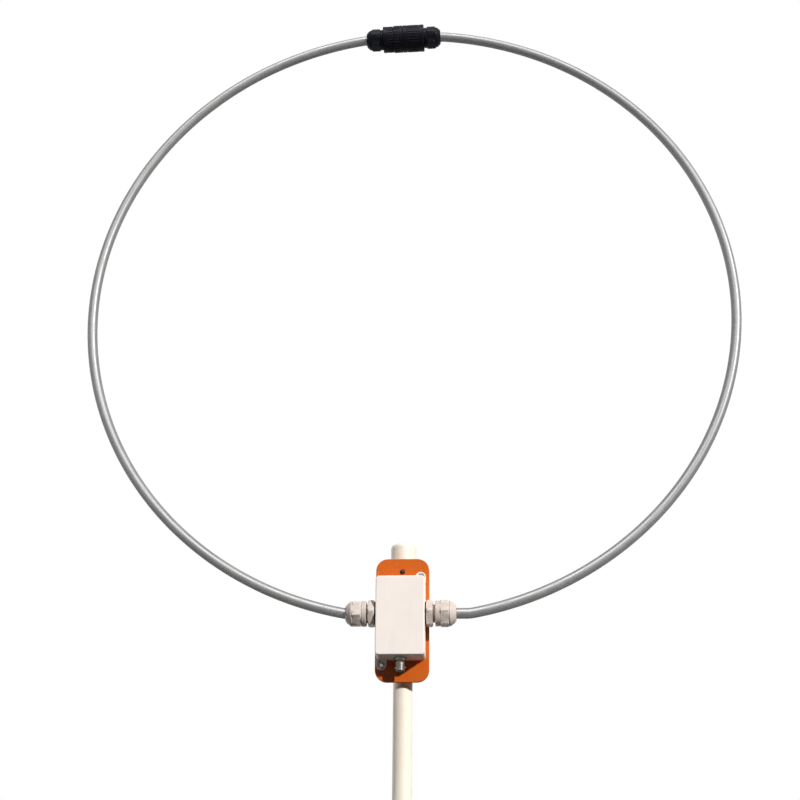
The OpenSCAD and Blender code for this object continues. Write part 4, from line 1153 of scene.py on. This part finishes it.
def loopPath(v, side):
    way = -1 if side == "left" else 1
    reach, topReach = v["radius"] - v["lowBend"], v["radius"] - v["topBend"]
    low, top = math.degrees(math.asin(v["flat"] / reach)), math.degrees(math.asin(v["topFlat"] / topReach))
    middle = v["lowBend"] + reach * math.cos(math.radians(low))
    high = v["topBend"] + topReach * math.cos(math.radians(top))

    def straight(start, end, height, steps, first=0):
        return [(start + (end - start) * k / steps, height) for k in range(first, steps + 1)]

    def arc(cx, cz, radius, start, end):
        count = max(3, math.ceil(abs(end - start) / v["step"]))
        points = [onCircle(radius, start + (end - start) * k / count) for k in range(count + 1)]
        return [(cx + x, cz + z) for x, z in points]

    bendAt, topAt = v["shift"] + way * v["flat"], way * v["topFlat"]
    joinAt = 90 + v["turn"] - way * top + (360 if way > 0 else 0)
    path = straight(case["middle"][0] + way * v["endIn"], bendAt, 0.0, v["lowSteps"])
    path += arc(bendAt, v["lowBend"], v["lowBend"], 270, 270 + way * low)
    path += arc(v["shift"], middle, v["radius"], 270 + way * low, joinAt)
    crest = arc(topAt, high - v["topBend"], v["topBend"], 90 - way * top, 90)
    crest += straight(topAt, v["topEnds"][side], high, v["topSteps"], 1)
    c, s = onCircle(1.0, v["turn"])  # the crest stands turned about the loop's middle
    path += [(v["shift"] + c * x - s * z, middle + s * x + c * z) for x, z in crest]
    return [(x, glandAt[1], glandAt[2] + z) for x, z in spaced(path, v["same"])]


# the ring of wall at each end of a tube
def closeEnds(mesh, farApart=30.0):
    bm = bmesh.new()
    bm.from_mesh(mesh)
    ends = {}
    for edge in [e for e in bm.edges if len(e.link_faces) == 1]:
        middle = (edge.verts[0].co + edge.verts[1].co) / 2
        near = [key for key in ends if (Vector(key) - middle).length < farApart]
        ends.setdefault(near[0] if near else tuple(middle), []).append(edge)
    for edges in ends.values():
        bmesh.ops.bridge_loops(bm, edges=edges)
    bmesh.ops.recalc_face_normals(bm, faces=bm.faces)
    bm.to_mesh(mesh)
    bm.free()
    return mesh


def buildLoop(v):
    sizes = {"Radius": v["tube"], "Bore": v["bore"], "Sides": v["sides"],
             "Material": finishes["tubeAluminium"]}
    for side in ("left", "right"):
        points = loopPath(v, side)
        curve = bpy.data.curves.new("tubeLine", "CURVE")
        curve.dimensions = "3D"
        line = curve.splines.new("POLY")
        line.points.add(len(points) - 1)
        for point, at in zip(line.points, points):
            point.co = (*at, 1.0)
        tube = closeEnds(applyTree(loose("tubeLine", curve), sweepTree, sizes))
        addPiece("loopTube" + side.title(), tube, inPlace, "tubeAluminium", "loop")


# the black joiner at the top, measured along its axis from its middle
joinerAt, joinerAxis = jointLine("back_nut_right_turn")
joinerAt[1] = glandAt[1]  # the joint's own place is rounded
joinerPlace = standing(joinerAt, joinerAxis, (0, 1, 0))
grip = {"ribs": 30, "high": 0.5, "share": 0.5, "sunk": 0.8, "points": 6, "crown": 0.6,
        "rows": ((-0.5, 0.0), (-0.44, 0.75), (-0.36, 1.0), (0.36, 1.0), (0.44, 0.75), (0.5, 0.0))}
joinerEdge = {"band": 0.6, "rib": 0.35, "groove": 0.1, "fine": 0.2, "soft": 0.4, "thread": 0.3,
              "guard": 0.25}
joinerPlug = {"from": -24.8, "band": 5.4, "ribbed": 6.8, "radius": 15.4, "neck": 8.95, "neckLong": 11.6,
              "collar": 12.5, "flange": (-7.6, -5.8, 13.4), "spigot": 10.7, "spigotEnd": 3.8, "bore": 5.6,
              "ribShift": 0.1, "ribShort": 0.5}
joinerRing = {"from": -12.3, "to": -1.5, "ribbed": 7.2, "radius": 16.0, "lip": 12.8, "lipLong": 4.4,
              "bore": 13.7, "ribShift": 0.1, "ribShort": 0.3}
joinerSocket = {"face": -1.2, "plain": 4.6, "ribbed": 15.2, "band": 5.6, "radius": 16.0, "thread": 13.4,
                "threadFrom": -4.8, "mouth": 11.0, "mouthEnd": 4.1, "bore": 5.6, "neck": 8.95,
                "neckLong": 11.6, "ribShift": 0.0, "ribShort": 0.5}
backNut = {"long": 19.6, "flats": 23.0, "corner": 0.9, "bore": 9.25, "boreEdge": 0.3, "boreDeep": 12.8,
           "collar": 2.6, "radius": 12.0, "collarEdge": 0.4, "collarEnd": 0.3, "step": 0.7,
           "hexFoot": (0.3, 0.3), "hexFrom": 1.2, "hexTo": 0.9, "hexOver": 0.1, "dome": 6.0,
           "domeFoot": (0.4, 0.2), "domeTop": (2.2, 0.6), "domeRound": 1.5, "nose": (1.2, 1.6),
           "noseRound": 2.5, "lip": 7.6, "lipRound": 0.8, "exit": 6.1, "exitEdge": 0.4, "guard": 0.2,
           "places": {"left": (-25.1, -1), "right": (24.5, 1)}}


# one rib of unit size: rounded back, sloped ends, its foot sunk in the body
def ribModel(g):
    outlines = []
    for z, size in g["rows"]:
        back = [math.pi * k / g["points"] for k in range(g["points"] + 1)]
        outline = [(math.sin(a) ** g["crown"] * size, -0.5 * math.cos(a), z) for a in back]
        outlines.append(outline + [(-g["sunk"], 0.5, z), (-g["sunk"], -0.5, z)])
    return loose("gripRib", toMesh("gripRib", shellOver(outlines)))


# a turned body with a band of ribs round it
def addRibbed(name, rows, rib, p, bandFrom, body):
    wide = grip["share"] * 2 * math.pi * p["radius"] / grip["ribs"]
    long = p["ribbed"] - p["ribShort"]
    sizes = {"Rib": rib, "Count": grip["ribs"], "Radius": p["radius"] - grip["high"],
             "Middle": bandFrom + 0.5 * p["ribbed"] + p["ribShift"], "Rib Size": (grip["high"], wide, long),
             "Material": finishes["joinerBlack"]}
    mesh = applyTree(loose("ribbed", toMesh("ribbed", turned(rows))), ribTree, sizes)
    addPiece(name, mesh, joinerPlace, "joinerBlack", body)


def plugRows(p, e, low):
    start, bandEnd = p["from"], p["from"] + p["band"]
    neckEnd, face = start - p["neckLong"], bandEnd + p["ribbed"]
    flangeAt, flangeEnd, flange = p["flange"]
    line = [(neckEnd, p["bore"]), (neckEnd, p["neck"], e["soft"]), (start, p["neck"], e["fine"]),
            (start, p["radius"], e["band"]), (bandEnd, p["radius"], e["rib"]), (bandEnd, low, e["groove"]),
            (face, low, e["soft"]), (face, p["collar"], e["fine"]), (flangeAt, p["collar"], e["groove"]),
            (flangeAt, flange, e["fine"]), (flangeEnd, flange, e["fine"]),
            (flangeEnd, p["spigot"], e["fine"]), (p["spigotEnd"], p["spigot"], e["soft"]),
            (p["spigotEnd"], p["bore"])]
    return roundedLine(line, guard=e["guard"])


def ringRows(r, e, low):
    ribEnd, lipEnd = r["from"] + r["ribbed"], r["from"] + r["lipLong"]
    line = [(r["from"], r["lip"], e["fine"]), (r["from"], low, e["soft"]), (ribEnd, low, e["groove"]),
            (ribEnd, r["radius"], e["rib"]), (r["to"], r["radius"], e["band"]),
            (r["to"], r["bore"], e["fine"]), (lipEnd, r["bore"], e["fine"]), (lipEnd, r["lip"], e["fine"])]
    return roundedLine(line, True, guard=e["guard"])


def socketRows(s, e, low):
    first = s["face"] + s["plain"]
    last = first + s["ribbed"]
    end = last + s["band"]
    neckEnd = end + s["neckLong"]
    line = [(s["threadFrom"], s["mouth"], e["fine"]), (s["threadFrom"], s["thread"], e["thread"]),
            (s["face"], s["thread"], e["fine"]), (s["face"], s["radius"], e["band"]),
            (first, s["radius"], e["rib"]), (first, low, e["groove"]), (last, low, e["groove"]),
            (last, s["radius"], e["rib"]), (end, s["radius"], e["band"]), (end, s["neck"], e["fine"]),
            (neckEnd, s["neck"], e["soft"]), (neckEnd, s["bore"], e["fine"]),
            (s["mouthEnd"], s["bore"], e["fine"]), (s["mouthEnd"], s["mouth"], e["fine"])]
    return roundedLine(line, True, guard=e["guard"])


def backNutRows(n):
    tip, wide, collar, long = hexTip(n["flats"]), n["radius"], n["collar"], n["long"]
    hexEnd = long - n["dome"]
    footRise, footIn = n["hexFoot"]
    foot = [(0, n["bore"], n["boreEdge"]), (0, wide, n["collarEdge"]), (collar, wide, n["collarEnd"]),
            (collar, wide - n["step"])]
    rows = roundedLine(foot, guard=n["guard"])
    band = [(collar, wide - n["step"]), (collar + footRise, wide - footIn), (collar + n["hexFrom"], tip),
            (hexEnd - n["hexTo"], tip), (hexEnd, wide + n["hexOver"])]
    (domeRise, domeIn), (topRise, topIn), (noseDrop, noseOver) = n["domeFoot"], n["domeTop"], n["nose"]
    dome = [(hexEnd + domeRise, wide - domeIn), (hexEnd + topRise, wide - topIn, n["domeRound"]),
            (long - noseDrop, n["lip"] + noseOver, n["noseRound"]), (long, n["lip"], n["lipRound"]),
            (long, n["exit"], n["exitEdge"])]
    for line in (band, dome):
        rows += withFlats(roundedLine(line, guard=n["guard"]), n["flats"])
    return rows + [(n["boreDeep"], n["exit"]), (n["boreDeep"], n["bore"])]


def buildJoiner(p, r, s, n, e):
    rib = ribModel(grip)
    rows = plugRows(p, e, p["radius"] - grip["high"])
    addRibbed("plugBody", rows, rib, p, p["from"] + p["band"], "loop")
    rows = ringRows(r, e, r["radius"] - grip["high"])
    addRibbed("couplingRing", rows, rib, r, r["from"], "joiner_ring")
    rows = socketRows(s, e, s["radius"] - grip["high"])
    addRibbed("socketBody", rows, rib, s, s["face"] + s["plain"], "loop")
    bpy.data.objects.remove(rib)
    axis = Vector(joinerAxis)
    for side, (at, way) in n["places"].items():
        where = standing(Vector(joinerAt) + axis * at, axis * way, (0, 1, 0))
        addTurned("backNut" + side.title(), backNutRows(n), where, "joinerBlack", side + "_back_nut",
                  flats=n["flats"], corner=n["corner"])


buildLoop(tubeLoop)
buildJoiner(joinerPlug, joinerRing, joinerSocket, backNut, joinerEdge)
print("loop and joiner built")


# pan-head screws with a cross recess, and the nuts behind the ears
screw = {"radius": 1.5, "head": 2.55, "headEdge": 0.15, "high": 1.8, "side": 0.45, "sideRound": 0.3,
         "top": 0.5, "topRound": 1.6, "cross": (3.0, 0.62), "crossDeep": 1.0, "crossOver": 1.0, "pitch": 0.5,
         "deep": 0.28, "tip": 0.5, "tipLong": 0.6, "threadEnds": (0.7, 0.4), "sides": 40, "guard": 0.1}
earNut = {"flats": 5.55, "corner": 0.15, "high": 2.4, "bore": 1.52, "boreEdge": 0.2, "face": 2.85,
          "faceEdge": 0.05, "chamfer": 0.35, "guard": 0.1}
clipSpots = [(0.0, plate["front"], height) for height in clip["heights"].values()]
screwSpots = [(x, case["back"] - ear["floor"], z) for x, z, turn in earPlaces(case, ear)]
nutSpots = [(x, plate["back"], z) for x, z, turn in earPlaces(case, ear)]
fasteners = {"clipScrews": {"long": 7.2, "finish": "screwBlack", "seed": 4, "places": clipSpots},
             "earScrews": {"long": 9.2, "finish": "screwSteel", "seed": 9, "places": screwSpots},
             "earNuts": {"finish": "screwSteel", "seed": 3, "places": nutSpots}}


def screwModel(s, long):
    first, last = s["threadEnds"]
    rows = [(-long, nearAxis), (-long, s["tip"] * s["radius"]),
            (-long + s["tipLong"], s["radius"] - s["deep"])]
    rows += threadRows(-long + first, -last, s["radius"], s["pitch"], s["deep"])
    rows += [(0, s["radius"])]
    head = [(0, s["radius"]), (0, s["head"], s["headEdge"]),
            (s["side"] * s["high"], s["head"], s["sideRound"]),
            (s["high"], s["top"] * s["head"], s["topRound"]), (s["high"], nearAxis)]
    rows += roundedLine(head, guard=s["guard"])
    solid = toMesh("screw", turned(rows, sides=s["sides"]))
    reach, wide = (size / 2 for size in s["cross"])
    low, high = s["high"] - s["crossDeep"], s["high"] + s["crossOver"]
    for x, y in ((reach, wide), (wide, reach)):
        slot = blockMesh("cross", (-x, -y, low), (x, y, high))
        solid = combine("screw", solid, slot, "DIFFERENCE")
    return loose("screwModel", solid)


def nutModel(n):
    tip, end = hexTip(n["flats"]), -n["high"]
    line = [(0, n["bore"], n["boreEdge"]), (0, n["face"], n["faceEdge"]), (-n["chamfer"], tip),
            (n["chamfer"] + end, tip), (end, n["face"], n["faceEdge"]), (end, n["bore"], n["boreEdge"])]
    rows = withFlats(roundedLine(line, True, guard=n["guard"]), n["flats"])
    return loose("nutModel", toMesh("nutModel", turned(rows, n["flats"], n["corner"])))


def setFasteners(name, made):
    model = screwModel(screw, made["long"]) if "long" in made else nutModel(earNut)
    mesh = bpy.data.meshes.new(name)
    mesh.from_pydata(made["places"], [], [])
    forward = Vector((0, -1, 0)).to_track_quat("Z", "X").to_euler()
    values = {"Fastener": model, "Facing": tuple(forward), "Seed": made["seed"],
              "Material": finishes[made["finish"]]}
    placed = applyTree(loose(name, mesh), fastenerTree, values)
    bpy.data.objects.remove(model)
    addPiece(name, placed, inPlace, made["finish"], "head")


for name, made in fasteners.items():
    setFasteners(name, made)
print("screws and nuts set")


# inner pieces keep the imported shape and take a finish
innerFinishes = {
    "screwSteel": ["lid_screws", "board_screws", "loop_lugs", "jack_nut"],
    "nylonGrey": ["gland_locknut_left", "gland_locknut_right"],
    "rubberBlack": ["gland_seal_left", "gland_seal_right", "joiner_oring", "joiner_seal_left",
                    "joiner_seal_right"],
    "boardGreen": ["circuit_board"],
    "coreFerrite": ["input_transformer"],
    "chipBlack": ["amplifier_chip"],
    "capacitorBlue": ["board_capacitors"],
    "leadRed": ["jack_lead", "loop_leads"],
    "contactBrass": ["tube_studs", "stud_nuts", "plug_contact", "socket_contact"],
}
for finish, names in innerFinishes.items():
    for name in names:
        for slot in nodes[name].material_slots:
            slot.material = finishes[finish]
print("inner pieces finished")

scene.view_settings.view_transform = "Standard"
